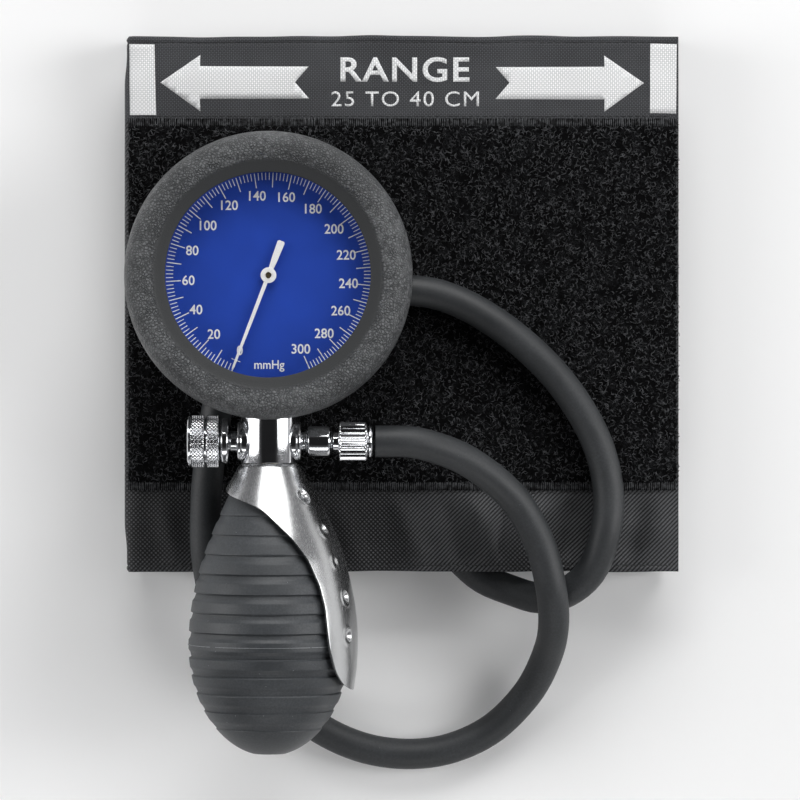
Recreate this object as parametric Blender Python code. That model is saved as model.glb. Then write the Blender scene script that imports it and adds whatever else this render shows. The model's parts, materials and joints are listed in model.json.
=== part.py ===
"""Upper arm blood pressure monitor: a palm-type aneroid gauge, bulb and hose on a folded cuff.

Frame: the origin is the centre of the cuff's underside, +Z is up, +Y runs along the hand unit
from the bulb to the gauge, and +X is to the right of the dial. Sizes are in millimetres and
become metres when a mesh is made.
"""

import math

import bmesh
import bpy
from mathutils import Matrix, Vector

MM = 0.001
GAP = 0.3

# Hand unit: the gauge centre, at the mid-height of the gauge, the manifold and the bulb.
HAND_X, HAND_Y, HAND_Z = -35.8, 6.9, 44.6
ALONG_BULB = (math.radians(90), 0, 0)
TO_KNOB = (0, math.radians(-90), 0)
TO_HOSE = (0, math.radians(90), 0)

# Gauge.
BUMPER_R, BUMPER_HALF, BUMPER_WINDOW_R = 38.5, 15.0, 27.3
CASE_R, CASE_IN_R, CASE_SHOULDER_R = 32.2, 30.4, 28.8
CASE_FLOOR, CASE_FLOOR_TOP, CASE_SHOULDER, CASE_TOP = -12.8, -11.8, 4.6, 8.0
LENS_R, LENS_LOW, LENS_TOP = 31.0, 9.3, 11.2
BEZEL_IN_R, BEZEL_WINDOW_R, BEZEL_TOP = 31.3, 28.3, 12.1
DIAL_BORE_R = 1.5
INLET_R = 3.2
DIAL_R, DIAL_LOW, DIAL_TOP = 30.0, 4.9, 5.9
POINTER_LOW, POINTER_TOP = 6.9, 7.5
POINTER_LENGTH, POINTER_TAIL = 27.0, 9.8
POINTER_AT_ZERO = 201.0
POINTER_HUB_R, POINTER_BORE_R, TAIL_HALF = 2.1, 0.8, 0.98

# Movement: a capsule lifts the rocker, which swings the sector, which turns the pinion.
GEAR_MODULE = 0.5
PINION_TEETH, SECTOR_WHEEL_TEETH, SECTOR_TEETH = 12, 72, 14
PINION_R = GEAR_MODULE * PINION_TEETH / 2
SECTOR_R = GEAR_MODULE * SECTOR_WHEEL_TEETH / 2
SECTOR_X = PINION_R + SECTOR_R
BASE_LOW, BASE_TOP, PLATE_LOW, PLATE_TOP = -4.0, -3.0, 2.4, 3.4
BASE_PLATE_R, BASE_CHORD_X = 25.5, 24.6
POST_R, POST_ANGLES = 22.0, (90, 210, 330)
SCREW_R, SCREW_HEAD_R, SCREW_HOLE_R = 0.95, 2.1, 1.3
PIVOT_HOLE_R = 0.9
PILLAR_SPOTS = ((-7, 8), (-7, -8), (20, 6.5), (20, -6.5))
ROCKER_Y, ROCKER_Z, ROCKER_R = 2.0, -5.3, 0.8
CAPSULE_R, CAPSULE_RIM_Z = 18.0, -9.85

# Manifold and fittings: distances below the gauge centre, and sideways from the hand unit's axis.
CROSS_D = 44.4
MANIFOLD_R, MANIFOLD_START, MANIFOLD_END = 7.65, 33.5, 49.9
BOSS_R, BOSS_END = 4.9, 8.7
CROSS_BORE_R = 3.1
BUSH_LOW, BUSH_TOP, KNOB_R, KNOB_LOW, KNOB_TOP = 10.8, 12.9, 6.95, 13.2, 21.8
NUT_R, NUT_BORE_R, NUT_LOW, NUT_TOP, COLLAR_TOP = 5.15, 2.8, 18.6, 26.4, 28.0

# Bulb and spoon.
BULB_R, BULB_SEAM, BULB_NECK_D, BULB_END = 21.7, 98.8, 53.5, 128.8
BULB_TAPER = 0.0262
BULB_WALL = 2.2
NECK_BORE_R, INTAKE_BORE_R = 5.3, 4.5
SPOON_THICK = 0.8

# Cuff: a cloth strip folded into three layers, with its tail tucked under.
CUFF_HALF_Y = 73.5
LAYER_LOW, LAYER_TOP = 1.55, 17.5
FOLD_R = 1.8
CLOTH, CLOTH_OFFSET, BLADDER = 0.6, 1.25, 1.3
LEFT_FOLD_X, TOP_FOLD_X, RIGHT_FOLD_X = -71.5, -72.4, 71.0
CUFF_END_X, TAIL_END_X = 75.75, -36.0
PILE_LOW_Y, PILE_HIGH_Y, PILE_HALF_X = -51.1, 50.8, 75.3
PILE_TOP = 20.5
PORT_X, PORT_Y = -1.0, -55.5
PORT_SPIGOT_R = 3.0

# Hose: one free rubber hose from the connector to the bladder's port.
HOSE_R = 4.25
HOSE_STEP = 1.6 * 2 * HOSE_R
HOSE_ROUTE = (
    (-7.3, -37.5, 44.6),
    (2.5, -37.7, 44.3),
    (9.1, -39.3, 42.4),
    (15.5, -41.8, 39.9),
    (21.6, -45.5, 37.2),
    (27.1, -50.0, 34.9),
    (31.6, -55.0, 33.0),
    (37.5, -66.1, 31.0),
    (40.5, -78.4, 29.9),
    (41.2, -88.0, 25.2),
    (39.6, -97.0, 16.0),
    (34.4, -107.8, 8.0),
    (24.3, -118.0, 4.9),
    (11.8, -123.5, 4.6),
    (-0.7, -124.6, 4.6),
    (-13.2, -122.2, 4.6),
    (-26.0, -115.5, 4.9),
    (-39.0, -102.8, 8.0),
    (-47.3, -90.8, 14.0),
    (-51.4, -80.6, 21.4),
    (-53.6, -68.0, 25.0),
    (-53.7, -55.0, 25.2),
    (-52.5, -41.4, 25.1),
    (-48.2, -19.6, 25.05),
    (-41.6, -9.5, 25.05),
    (-31.5, -1.6, 25.05),
    (-19.8, 2.4, 25.05),
    (-5.0, 3.6, 25.05),
    (10.0, 2.3, 25.05),
    (25.4, -5.3, 25.05),
    (42.1, -20.2, 25.05),
    (52.9, -37.6, 25.1),
    (56.2, -52.0, 25.2),
    (55.2, -63.0, 25.9),
    (51.4, -73.3, 24.1),
    (44.9, -79.0, 21.4),
    (37.6, -80.8, 17.0),
    (30.0, -78.9, 12.2),
    (21.9, -75.5, 11.0),
    (14.1, -68.6, 11.4),
    (5.66, -61.5, 11.3),
)


def clear_scene():
    for obj in list(bpy.data.objects):
        bpy.data.objects.remove(obj, do_unlink=True)


def make_material(name, colour, roughness, metallic=0.0, alpha=1.0):
    material = bpy.data.materials.new(name)
    material.use_nodes = True
    shader = material.node_tree.nodes["Principled BSDF"]
    shader.inputs["Base Color"].default_value = (*colour, 1.0)
    shader.inputs["Roughness"].default_value = roughness
    shader.inputs["Metallic"].default_value = metallic
    shader.inputs["Alpha"].default_value = alpha
    return material


FINISHES = {
    "bumper": ((0.075, 0.077, 0.080), 0.75, 0.0),
    "dial": ((0.015, 0.053, 0.352), 0.45, 0.0),
    "white": ((0.85, 0.85, 0.85), 0.4, 0.0),
    "clear": ((0.95, 0.97, 1.0), 0.03, 0.0),
    "chrome": ((0.80, 0.80, 0.81), 0.12, 1.0),
    "steel": ((0.62, 0.62, 0.63), 0.32, 1.0),
    "brass": ((0.66, 0.48, 0.22), 0.3, 1.0),
    "rubber": ((0.055, 0.060, 0.068), 0.6, 0.0),
    "hose": ((0.045, 0.049, 0.055), 0.55, 0.0),
    "cloth": ((0.040, 0.041, 0.044), 0.85, 0.0),
    "pile": ((0.012, 0.012, 0.013), 0.95, 0.0),
}


def place(obj, origin, turn, parent):
    """Puts the object's origin (mm, in its parent's frame) and its turn, and returns it."""
    obj.location = Vector(origin) * MM
    obj.rotation_euler = turn
    obj.parent = parent
    return obj


def finish_mesh(name, bm, finish, origin=(0, 0, 0), turn=(0, 0, 0), parent=None, sharp=35):
    """Makes an object of a bmesh whose points are in millimetres."""
    bmesh.ops.remove_doubles(bm, verts=bm.verts[:], dist=0.001)
    bmesh.ops.recalc_face_normals(bm, faces=bm.faces[:])
    bmesh.ops.scale(bm, verts=bm.verts[:], vec=(MM, MM, MM))
    mesh = bpy.data.meshes.new(name)
    bm.to_mesh(mesh)
    bm.free()
    mesh.shade_smooth()
    mesh.set_sharp_from_angle(angle=math.radians(sharp))
    mesh.materials.append(make_material(name, *FINISHES[finish]))
    obj = bpy.data.objects.new(name, mesh)
    bpy.context.collection.objects.link(obj)
    return place(obj, origin, turn, parent)


def turned(name, profile, finish, steps=32, **where):
    """Turns a closed outline of (radius, height) about the local Z axis."""
    bm = bmesh.new()
    rings = []
    for radius, height in profile:
        count = 1 if radius < 1e-6 else steps
        angles = [2 * math.pi * i / steps for i in range(count)]
        rings.append([bm.verts.new((radius * math.cos(a), radius * math.sin(a), height)) for a in angles])
    for low, high in zip(rings, rings[1:] + rings[:1]):
        for i in range(steps):
            corners = (low[i % len(low)], low[(i + 1) % len(low)])
            corners += (high[(i + 1) % len(high)], high[i % len(high)])
            unique = list(dict.fromkeys(corners))
            if len(unique) > 2:
                bm.faces.new(unique)
    return finish_mesh(name, bm, finish, **where)


def rod(name, radius, low, high, finish, steps=20, **where):
    return turned(name, [(0, low), (radius, low), (radius, high), (0, high)], finish, steps, **where)


def ring(name, inner, outer, low, high, finish, steps=32, **where):
    profile = [(inner, low), (outer, low), (outer, high), (inner, high)]
    return turned(name, profile, finish, steps, **where)


def circle(x, y, radius, steps=20):
    angles = [2 * math.pi * i / steps for i in range(steps)]
    return [(x + radius * math.cos(a), y + radius * math.sin(a)) for a in angles]


def plate(name, outline, holes, low, high, finish, **where):
    """Extrudes a flat outline with holes from one height to another."""
    bm = bmesh.new()
    edges = []
    for loop in (outline, *holes):
        verts = [bm.verts.new((x, y, low)) for x, y in loop]
        edges += [bm.edges.new(pair) for pair in zip(verts, verts[1:] + verts[:1])]
    bmesh.ops.triangle_fill(bm, edges=edges, use_beauty=True, use_dissolve=False)
    top = bmesh.ops.extrude_face_region(bm, geom=bm.faces[:])
    moved = [part for part in top["geom"] if isinstance(part, bmesh.types.BMVert)]
    bmesh.ops.translate(bm, verts=moved, vec=(0, 0, high - low))
    return finish_mesh(name, bm, finish, **where)


def block(name, low, high, finish, **where):
    bm = bmesh.new()
    size = Vector(high) - Vector(low)
    middle = (Vector(high) + Vector(low)) / 2
    bmesh.ops.create_cube(bm, size=1, matrix=Matrix.Translation(middle) @ Matrix.Diagonal((*size, 1)))
    return finish_mesh(name, bm, finish, **where)


def combine(target, other, operation):
    """Joins a hidden helper to the target, or cuts it away."""
    other.hide_render = True
    other.display_type = "WIRE"
    modifier = target.modifiers.new(other.name, "BOOLEAN")
    modifier.operation = operation
    modifier.solver = "EXACT"
    modifier.object = other


def frame_at(name, x, y, z):
    empty = bpy.data.objects.new(name, None)
    bpy.context.collection.objects.link(empty)
    return place(empty, (x, y, z), (0, 0, 0), None)


def smooth_route(points, step):
    """Evenly spaced points on the centripetal Catmull-Rom curve through the route's points."""
    knots = [Vector(point) for point in points]
    knots = [knots[0] * 2 - knots[1], *knots, knots[-1] * 2 - knots[-2]]
    dense = []
    for a, b, c, d in zip(knots, knots[1:], knots[2:], knots[3:]):
        t1 = (b - a).length ** 0.5
        t2 = t1 + (c - b).length ** 0.5
        t3 = t2 + (d - c).length ** 0.5
        for i in range(16):
            t = t1 + (t2 - t1) * i / 16
            ab = a * ((t1 - t) / t1) + b * (t / t1)
            bc = b * ((t2 - t) / (t2 - t1)) + c * ((t - t1) / (t2 - t1))
            cd = c * ((t3 - t) / (t3 - t2)) + d * ((t - t2) / (t3 - t2))
            abc = ab * ((t2 - t) / t2) + bc * (t / t2)
            bcd = bc * ((t3 - t) / (t3 - t1)) + cd * ((t - t1) / (t3 - t1))
            dense.append(abc * ((t2 - t) / (t2 - t1)) + bcd * ((t - t1) / (t2 - t1)))
    dense.append(knots[-2])
    lengths = [0.0]
    for a, b in zip(dense, dense[1:]):
        lengths.append(lengths[-1] + (b - a).length)
    count = round(lengths[-1] / step)
    picked = []
    index = 0
    for i in range(count + 1):
        goal = lengths[-1] * i / count
        while index < len(dense) - 2 and lengths[index + 1] < goal:
            index += 1
        share = (goal - lengths[index]) / (lengths[index + 1] - lengths[index])
        picked.append(dense[index].lerp(dense[index + 1], share))
    return picked


def tube(name, points, radius, finish, resolution=2, parent=None):
    """A curve with a round bevel and filled caps through the points."""
    curve = bpy.data.curves.new(name, "CURVE")
    curve.dimensions = "3D"
    curve.bevel_depth = radius * MM
    curve.bevel_resolution = resolution
    curve.use_fill_caps = True
    spline = curve.splines.new("POLY")
    spline.points.add(len(points) - 1)
    for point, place_at in zip(spline.points, points):
        point.co = (*(Vector(place_at) * MM), 1)
    curve.materials.append(make_material(name, *FINISHES[finish]))
    obj = bpy.data.objects.new(name, curve)
    bpy.context.collection.objects.link(obj)
    return place(obj, (0, 0, 0), (0, 0, 0), parent)


def gear_outline(teeth, module, wheel_teeth, first_angle, slack=0.14):
    """Tooth flanks as points (radius, angle) of a gear wheel, one tooth every pitch angle."""
    pitch_r = module * wheel_teeth / 2
    pitch = 2 * math.pi / wheel_teeth
    tip, root = pitch_r + 0.8 * module, pitch_r - 1.15 * module
    points = []
    for i in range(teeth):
        middle = first_angle + i * pitch
        for share, radius in ((-0.30, root), (-0.25, pitch_r), (-0.13, tip)):
            points.append((radius, middle + (share + slack / 2) * pitch))
        for share, radius in ((0.13, tip), (0.25, pitch_r), (0.30, root)):
            points.append((radius, middle + (share - slack / 2) * pitch))
    return points


def polar(points, centre_x=0.0):
    return [(centre_x + r * math.cos(a), r * math.sin(a)) for r, a in points]


def make_gauge(hand):
    """Rubber bumper, cup case, lens, dial and the ring that holds them together."""
    bumper = turned(
        "bumper",
        [
            (BUMPER_WINDOW_R, 12.4),
            (BUMPER_WINDOW_R, 12.9),
            (31.5, 14.2),
            (33.5, BUMPER_HALF),
            (36.2, 14.2),
            (37.9, 12.0),
            (BUMPER_R, 8.5),
            (BUMPER_R, -8.5),
            (37.9, -12.0),
            (36.2, -14.2),
            (33.5, -BUMPER_HALF),
            (26.0, -BUMPER_HALF),
            (26.0, CASE_FLOOR - GAP),
            (CASE_R + GAP, CASE_FLOOR - GAP),
            (CASE_R + GAP, 12.4),
        ],
        "bumper",
        steps=36,
        parent=hand,
    )
    neck_hole = rod("bumper_neck_hole", MANIFOLD_R + GAP, 28, 42, "bumper", turn=ALONG_BULB, parent=hand)
    combine(bumper, neck_hole, "DIFFERENCE")

    case = turned(
        "gauge_case",
        [
            (0, CASE_FLOOR),
            (CASE_R, CASE_FLOOR),
            (CASE_R, CASE_TOP),
            (CASE_IN_R, CASE_TOP),
            (CASE_IN_R, CASE_SHOULDER),
            (CASE_SHOULDER_R, CASE_SHOULDER),
            (CASE_SHOULDER_R, CASE_FLOOR_TOP),
            (0, CASE_FLOOR_TOP),
        ],
        "steel",
        steps=28,
        parent=hand,
    )
    inlet_hole = rod("case_inlet_hole", INLET_R + GAP, 26, 36, "steel", turn=ALONG_BULB, parent=hand)
    combine(case, inlet_hole, "DIFFERENCE")
    for number, angle in enumerate(POST_ANGLES, 1):
        spot = (POST_R * math.cos(math.radians(angle)), POST_R * math.sin(math.radians(angle)), 0)
        where = {"origin": spot, "turn": (0, 0, 0.2), "parent": hand}
        hole = rod(f"case_screw_hole_{number}", SCREW_HOLE_R, -14, -10, "steel", 12, **where)
        combine(case, hole, "DIFFERENCE")

    turned(
        "bezel_ring",
        [
            (BEZEL_IN_R, LENS_LOW),
            (CASE_R, LENS_LOW),
            (CASE_R, BEZEL_TOP),
            (BEZEL_WINDOW_R, BEZEL_TOP),
            (BEZEL_WINDOW_R, LENS_TOP + GAP),
            (BEZEL_IN_R, LENS_TOP + GAP),
        ],
        "steel",
        steps=28,
        parent=hand,
    )
    ring("lens_seal", 29.2, 31.8, CASE_TOP + GAP, LENS_LOW - GAP, "rubber", 24, parent=hand)
    rod("lens", LENS_R, LENS_LOW, LENS_TOP, "clear", 32, parent=hand)
    ring("dial_spacer", 28.6, 30.1, DIAL_TOP + GAP, CASE_TOP - 0.2, "steel", 24, parent=hand)
    ring("dial_plate", DIAL_BORE_R, DIAL_R, DIAL_LOW, DIAL_TOP, "dial", 32, parent=hand)


def make_movement(hand):
    """The works between the case floor and the dial."""
    chord = math.degrees(math.acos(BASE_CHORD_X / BASE_PLATE_R))
    angles = [chord + (360 - 2 * chord) * i / 36 for i in range(37)]
    outline = [(BASE_PLATE_R, math.radians(a)) for a in angles]
    spots = [(POST_R * math.cos(math.radians(a)), POST_R * math.sin(math.radians(a))) for a in POST_ANGLES]
    pivots = [circle(x, 0, PIVOT_HOLE_R, 10) for x in (0, SECTOR_X)]
    pillar_holes = [circle(x, y, PIVOT_HOLE_R, 10) for x, y in PILLAR_SPOTS]
    post_holes = [circle(x, y, 1.5, 12) for x, y in spots]
    holes = pivots + pillar_holes + post_holes
    plate("movement_base_plate", polar(outline), holes, BASE_LOW, BASE_TOP, "brass", parent=hand)
    outline = [(-9.5, -8), (-7, -10), (21, -9.5), (23.5, -7), (23.5, 7), (21, 9.5), (-7, 10), (-9.5, 8)]
    holes = [circle(0, 0, 1.0, 10), *pivots[1:], *pillar_holes]
    plate("movement_top_plate", outline, holes, PLATE_LOW, PLATE_TOP, "brass", parent=hand)

    for number, (x, y) in enumerate(PILLAR_SPOTS, 1):
        low, high = BASE_TOP + GAP, PLATE_LOW - GAP
        profile = [(0, BASE_LOW + 0.1), (0.6, BASE_LOW + 0.1), (0.6, low), (1.2, low)]
        profile += [(1.2, high), (0.6, high), (0.6, PLATE_TOP - 0.1), (0, PLATE_TOP - 0.1)]
        turned(f"plate_pillar_{number}", profile, "brass", 8, origin=(x, y, 0), parent=hand)

    for number, (x, y) in enumerate(spots, 1):
        low, high = CASE_FLOOR_TOP + GAP, BASE_LOW - GAP
        profile = [(1.3, low), (2.4, low), (2.4, high), (1.2, high), (1.2, BASE_TOP - 0.1)]
        profile += [(0, BASE_TOP - 0.1), (0, high - 1.0), (1.3, high - 1.0)]
        turned(f"movement_post_{number}", profile, "brass", 10, origin=(x, y, 0), parent=hand)
        head_low, shank_top = CASE_FLOOR - 1.5, CASE_FLOOR + 5.0
        head = [(0, head_low), (SCREW_HEAD_R, head_low), (SCREW_HEAD_R, CASE_FLOOR - GAP)]
        shank = [(SCREW_R, CASE_FLOOR - GAP), (SCREW_R, shank_top), (0, shank_top)]
        screw = turned(f"movement_screw_{number}", head + shank, "steel", 10, origin=(x, y, 0), parent=hand)
        slot_low = CASE_FLOOR - 2.0
        slot = block(
            f"screw_slot_{number}", (-3, -0.3, slot_low), (3, 0.3, slot_low + 1.0), "steel", origin=(x, y, 0)
        )
        slot.parent = hand
        combine(screw, slot, "DIFFERENCE")

    half_pitch = math.pi / PINION_TEETH
    teeth = gear_outline(PINION_TEETH, GEAR_MODULE, PINION_TEETH, half_pitch)
    pinion = plate("pinion", polar(teeth), [], -1.6, 0.6, "brass", parent=hand)
    arbor = [(0, -3.5), (0.6, -3.5), (0.6, 6.6), (0.47, 6.7), (0.47, 8.3), (0, 8.3)]
    combine(pinion, turned("pinion_arbor", arbor, "steel", 12, parent=hand), "UNION")

    pitch = 2 * math.pi / SECTOR_WHEEL_TEETH
    first = math.pi - pitch * (SECTOR_TEETH - 2)
    rim = gear_outline(SECTOR_TEETH, GEAR_MODULE, SECTOR_WHEEL_TEETH, first)
    hub = [(2.2, math.radians(a)) for a in (205, 245, 285, 325)]
    tail = [(2.2, math.radians(-28)), (5.5, math.radians(-21)), (5.5, math.radians(-9))]
    hub_end = [(2.2, math.radians(a)) for a in (-2, 35, 65, 95)]
    web = [(r, a) for r, a in rim + hub + tail + hub_end]
    sector = plate(
        "sector_gear", polar(web), [], -0.9, 0.1, "brass", origin=(SECTOR_X, 0, 0), parent=hand
    )
    shaft = [(0, -3.5), (0.55, -3.5), (0.55, -2.6), (0.9, -2.6)]
    shaft += [(0.9, 2.0), (0.55, 2.0), (0.55, 3.2), (0, 3.2)]
    spindle = turned("sector_arbor", shaft, "steel", 12, origin=(SECTOR_X, 0, 0), parent=hand)
    combine(sector, spindle, "UNION")

    turns, inner, outer, half = 3, 1.3, 6.4, 0.18
    inside, outside = [], []
    for i in range(turns * 12 + 1):
        angle = 2 * math.pi * i / 12
        radius = inner + (outer - inner) * i / (turns * 12)
        inside.append((radius - half, angle))
        outside.append((radius + half, angle))
    plate("hairspring", polar(inside + outside[::-1]), [], 1.0, 1.7, "steel", parent=hand)

    turn = math.radians(90 - POINTER_AT_ZERO)
    pointer_outline = [(-POINTER_TAIL, -TAIL_HALF), (-2.0, -TAIL_HALF)]
    pointer_outline += polar([(POINTER_HUB_R, math.radians(a)) for a in (230, 260, 290, 315)])
    pointer_outline += [(2.04, -0.5), (POINTER_LENGTH, -0.4), (POINTER_LENGTH, 0.4), (2.04, 0.5)]
    pointer_outline += polar([(POINTER_HUB_R, math.radians(a)) for a in (45, 70, 100, 130)])
    pointer_outline += [(-2.0, TAIL_HALF), (-POINTER_TAIL, TAIL_HALF)]
    plate(
        "pointer",
        pointer_outline,
        [circle(0, 0, POINTER_BORE_R, 12)],
        POINTER_LOW,
        POINTER_TOP,
        "white",
        turn=(0, 0, turn),
        parent=hand,
    )


def make_rocker_and_capsule(hand):
    """The capsule's pin lifts the short arm, and the long arm pushes the sector's tail."""
    at = (0, ROCKER_Y, ROCKER_Z)
    shaft = [(0, -6.5), (ROCKER_R, -6.5), (ROCKER_R, 26.2), (0, 26.2)]
    rocker = turned("rocker_shaft", shaft, "steel", 12, origin=at, turn=TO_HOSE, parent=hand)
    lift_arm = block("lift_arm", (-0.6, -2.4, -0.4), (0.6, 0.2, 0.4), "steel", origin=at, parent=hand)
    lift_arm.rotation_euler = (math.radians(19), 0, 0)
    push_arm = block("push_arm", (25.2, -0.45, -0.2), (26.15, 0.45, 7.3), "steel", origin=at, parent=hand)
    push_arm.rotation_euler = (math.radians(47), 0, 0)
    combine(rocker, lift_arm, "UNION")
    combine(rocker, push_arm, "UNION")

    for number, x in enumerate((-5.0, 17.0), 1):
        corners = ((x - 0.75, 0, -6.6), (x + 0.75, 4, BASE_LOW - GAP))
        bracket = block(f"rocker_bracket_{number}", *corners, "brass", parent=hand)
        bore = rod(f"bracket_bore_{number}", 1.1, x - 2, x + 2, "brass", 12, origin=at, turn=TO_HOSE)
        bore.parent = hand
        combine(bracket, bore, "DIFFERENCE")

    low, rim = CASE_FLOOR_TOP + GAP, CAPSULE_RIM_Z
    lower = [(0, low), (12, low), (14, low + 0.5), (16.6, rim - 1.0), (CAPSULE_R, rim - 1.0)]
    lower += [(CAPSULE_R, rim - 0.15), (16.4, rim - 0.15), (13.5, low + 1.1), (0, low + 1.1)]
    turned("capsule_lower", lower, "brass", 20, parent=hand)
    upper = [(0, rim + 0.15 + 0.55), (13.2, rim + 0.7), (16.2, rim + 0.15), (CAPSULE_R, rim + 0.15)]
    upper += [(CAPSULE_R, rim + 0.75), (16.6, rim + 0.75), (13.5, rim + 1.3), (1.4, rim + 1.3)]
    upper += [(1.0, rim + 1.9), (1.0, -6.95), (0, -6.95)]
    turned("capsule_upper", upper, "brass", 20, parent=hand)


def make_pressure_line(hand):
    """The threaded inlet, its washer, and the fine tube that feeds the capsule."""
    stem = [(1.3, 25.9), (2.2, 25.9), (2.2, 28.0), (INLET_R, 28.0), (INLET_R, 38.0), (1.3, 38.0)]
    turned("gauge_inlet", stem, "brass", 12, turn=ALONG_BULB, parent=hand)
    ring("inlet_seal", 3.6, 5.4, 32.55, 33.2, "rubber", 14, turn=ALONG_BULB, parent=hand)
    route = ((0, -27.1, -2.6), (0, -27.1, -7.6), (0, -26.6, -8.7), (0, -25.5, -9.2), (0, -18.5, -9.9))
    tube("capillary_tube", route, 0.55, "brass", parent=hand)


def make_manifold(hand):
    """Chromed cross body with a main bore, and bosses for the valve and the hose."""
    profile = [(7.0, MANIFOLD_START), (MANIFOLD_R, MANIFOLD_START + 0.7)]
    profile += [(MANIFOLD_R, MANIFOLD_END - 0.7), (7.0, MANIFOLD_END), (3.6, MANIFOLD_END)]
    profile += [(3.6, 47.8), (1.8, 47.8), (1.8, 38.4), (3.6, 38.4), (3.6, MANIFOLD_START)]
    manifold = turned("manifold", profile, "chrome", 24, turn=ALONG_BULB, parent=hand)
    cross = (0, -CROSS_D, 0)
    for side, turn in (("knob", TO_KNOB), ("hose", TO_HOSE)):
        outline = [(0, 5.0), (BOSS_R, 5.0), (BOSS_R, BOSS_END - 0.5), (4.3, BOSS_END), (0, BOSS_END)]
        boss = turned(f"{side}_boss", outline, "chrome", 16, origin=cross, turn=turn, parent=hand)
        combine(manifold, boss, "UNION")
    bore = rod("cross_bore", CROSS_BORE_R, -10, 10, "chrome", 14, origin=cross, turn=TO_HOSE, parent=hand)
    combine(manifold, bore, "DIFFERENCE")


def make_release_valve(hand):
    """A needle on the knob's spindle closes the seat, and unscrews with the knob."""
    where = {"origin": (0, -CROSS_D, 0), "turn": TO_KNOB, "parent": hand}
    ring("valve_seat", 1.0, 2.75, 2.7, 5.0, "brass", 12, **where)
    bush = [(2.2, 5.4), (2.8, 5.4), (2.8, BUSH_LOW), (6.0, BUSH_LOW), (6.25, BUSH_LOW + 0.3)]
    bush += [(6.25, BUSH_TOP - 0.3), (6.0, BUSH_TOP), (2.2, BUSH_TOP)]
    turned("valve_bush", bush, "chrome", 20, **where)
    needle = [(0, 2.2), (0.55, 3.6), (0.55, 5.4), (1.5, 5.9), (1.5, 6.6), (1.0, 6.6), (1.0, 8.6)]
    recess = KNOB_TOP - 1.1
    needle += [(1.5, 8.6), (1.5, recess - GAP), (0, recess - GAP)]
    turned("valve_spindle", needle, "steel", 10, **where)
    ring("valve_oring", 1.3, 1.9, 6.9, 8.3, "rubber", 12, **where)
    waist_r, waist = KNOB_R - 0.65, (KNOB_LOW + KNOB_TOP) / 2 - 0.2
    knob = [(1.8, KNOB_LOW), (waist_r, KNOB_LOW), (KNOB_R, KNOB_LOW + 0.6), (KNOB_R, waist - 0.6)]
    knob += [(waist_r, waist - 0.2), (waist_r, waist + 0.2), (KNOB_R, waist + 0.6)]
    knob += [(KNOB_R, KNOB_TOP - 0.9), (6.2, KNOB_TOP), (0, KNOB_TOP), (0, recess), (1.8, recess)]
    turned("valve_knob", knob, "chrome", 20, **where)


def make_hose_connector(hand):
    """Connector body screwed into the manifold, and the union nut that turns on its neck."""
    where = {"origin": (0, -CROSS_D, 0), "turn": TO_HOSE, "parent": hand}
    neck_r = NUT_BORE_R - GAP
    body = [(1.3, 3.0), (neck_r, 3.0), (neck_r, 10.1), (3.6, 10.1), (4.1, 10.7), (4.1, 15.9)]
    body += [(3.6, 16.5), (neck_r, 16.5), (neck_r, COLLAR_TOP), (1.3, COLLAR_TOP)]
    turned("hose_port", body, "chrome", 16, **where)
    nut = [(NUT_BORE_R, NUT_LOW), (4.8, NUT_LOW), (NUT_R, NUT_LOW + 0.4), (NUT_R, NUT_TOP - 0.4)]
    turned("hose_nut", nut + [(4.8, NUT_TOP), (NUT_BORE_R, NUT_TOP)], "chrome", 18, **where)
    low = NUT_TOP + GAP
    collar = [(NUT_BORE_R, low), (4.5, low), (4.5, low + 0.6), (3.8, COLLAR_TOP), (NUT_BORE_R, COLLAR_TOP)]
    turned("hose_collar", collar, "chrome", 16, **where)


def bulb_radius(distance, shell=0.0):
    """Outer radius of the bulb at a distance below the gauge centre, less the shell."""
    if distance < BULB_SEAM:
        return BULB_R * math.cos(BULB_TAPER * (BULB_SEAM - distance)) - shell
    half = BULB_END - BULB_SEAM - shell
    share = min(1.0, (distance - BULB_SEAM) / half)
    return (BULB_R - shell) * math.sqrt(1 - share**2)


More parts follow.
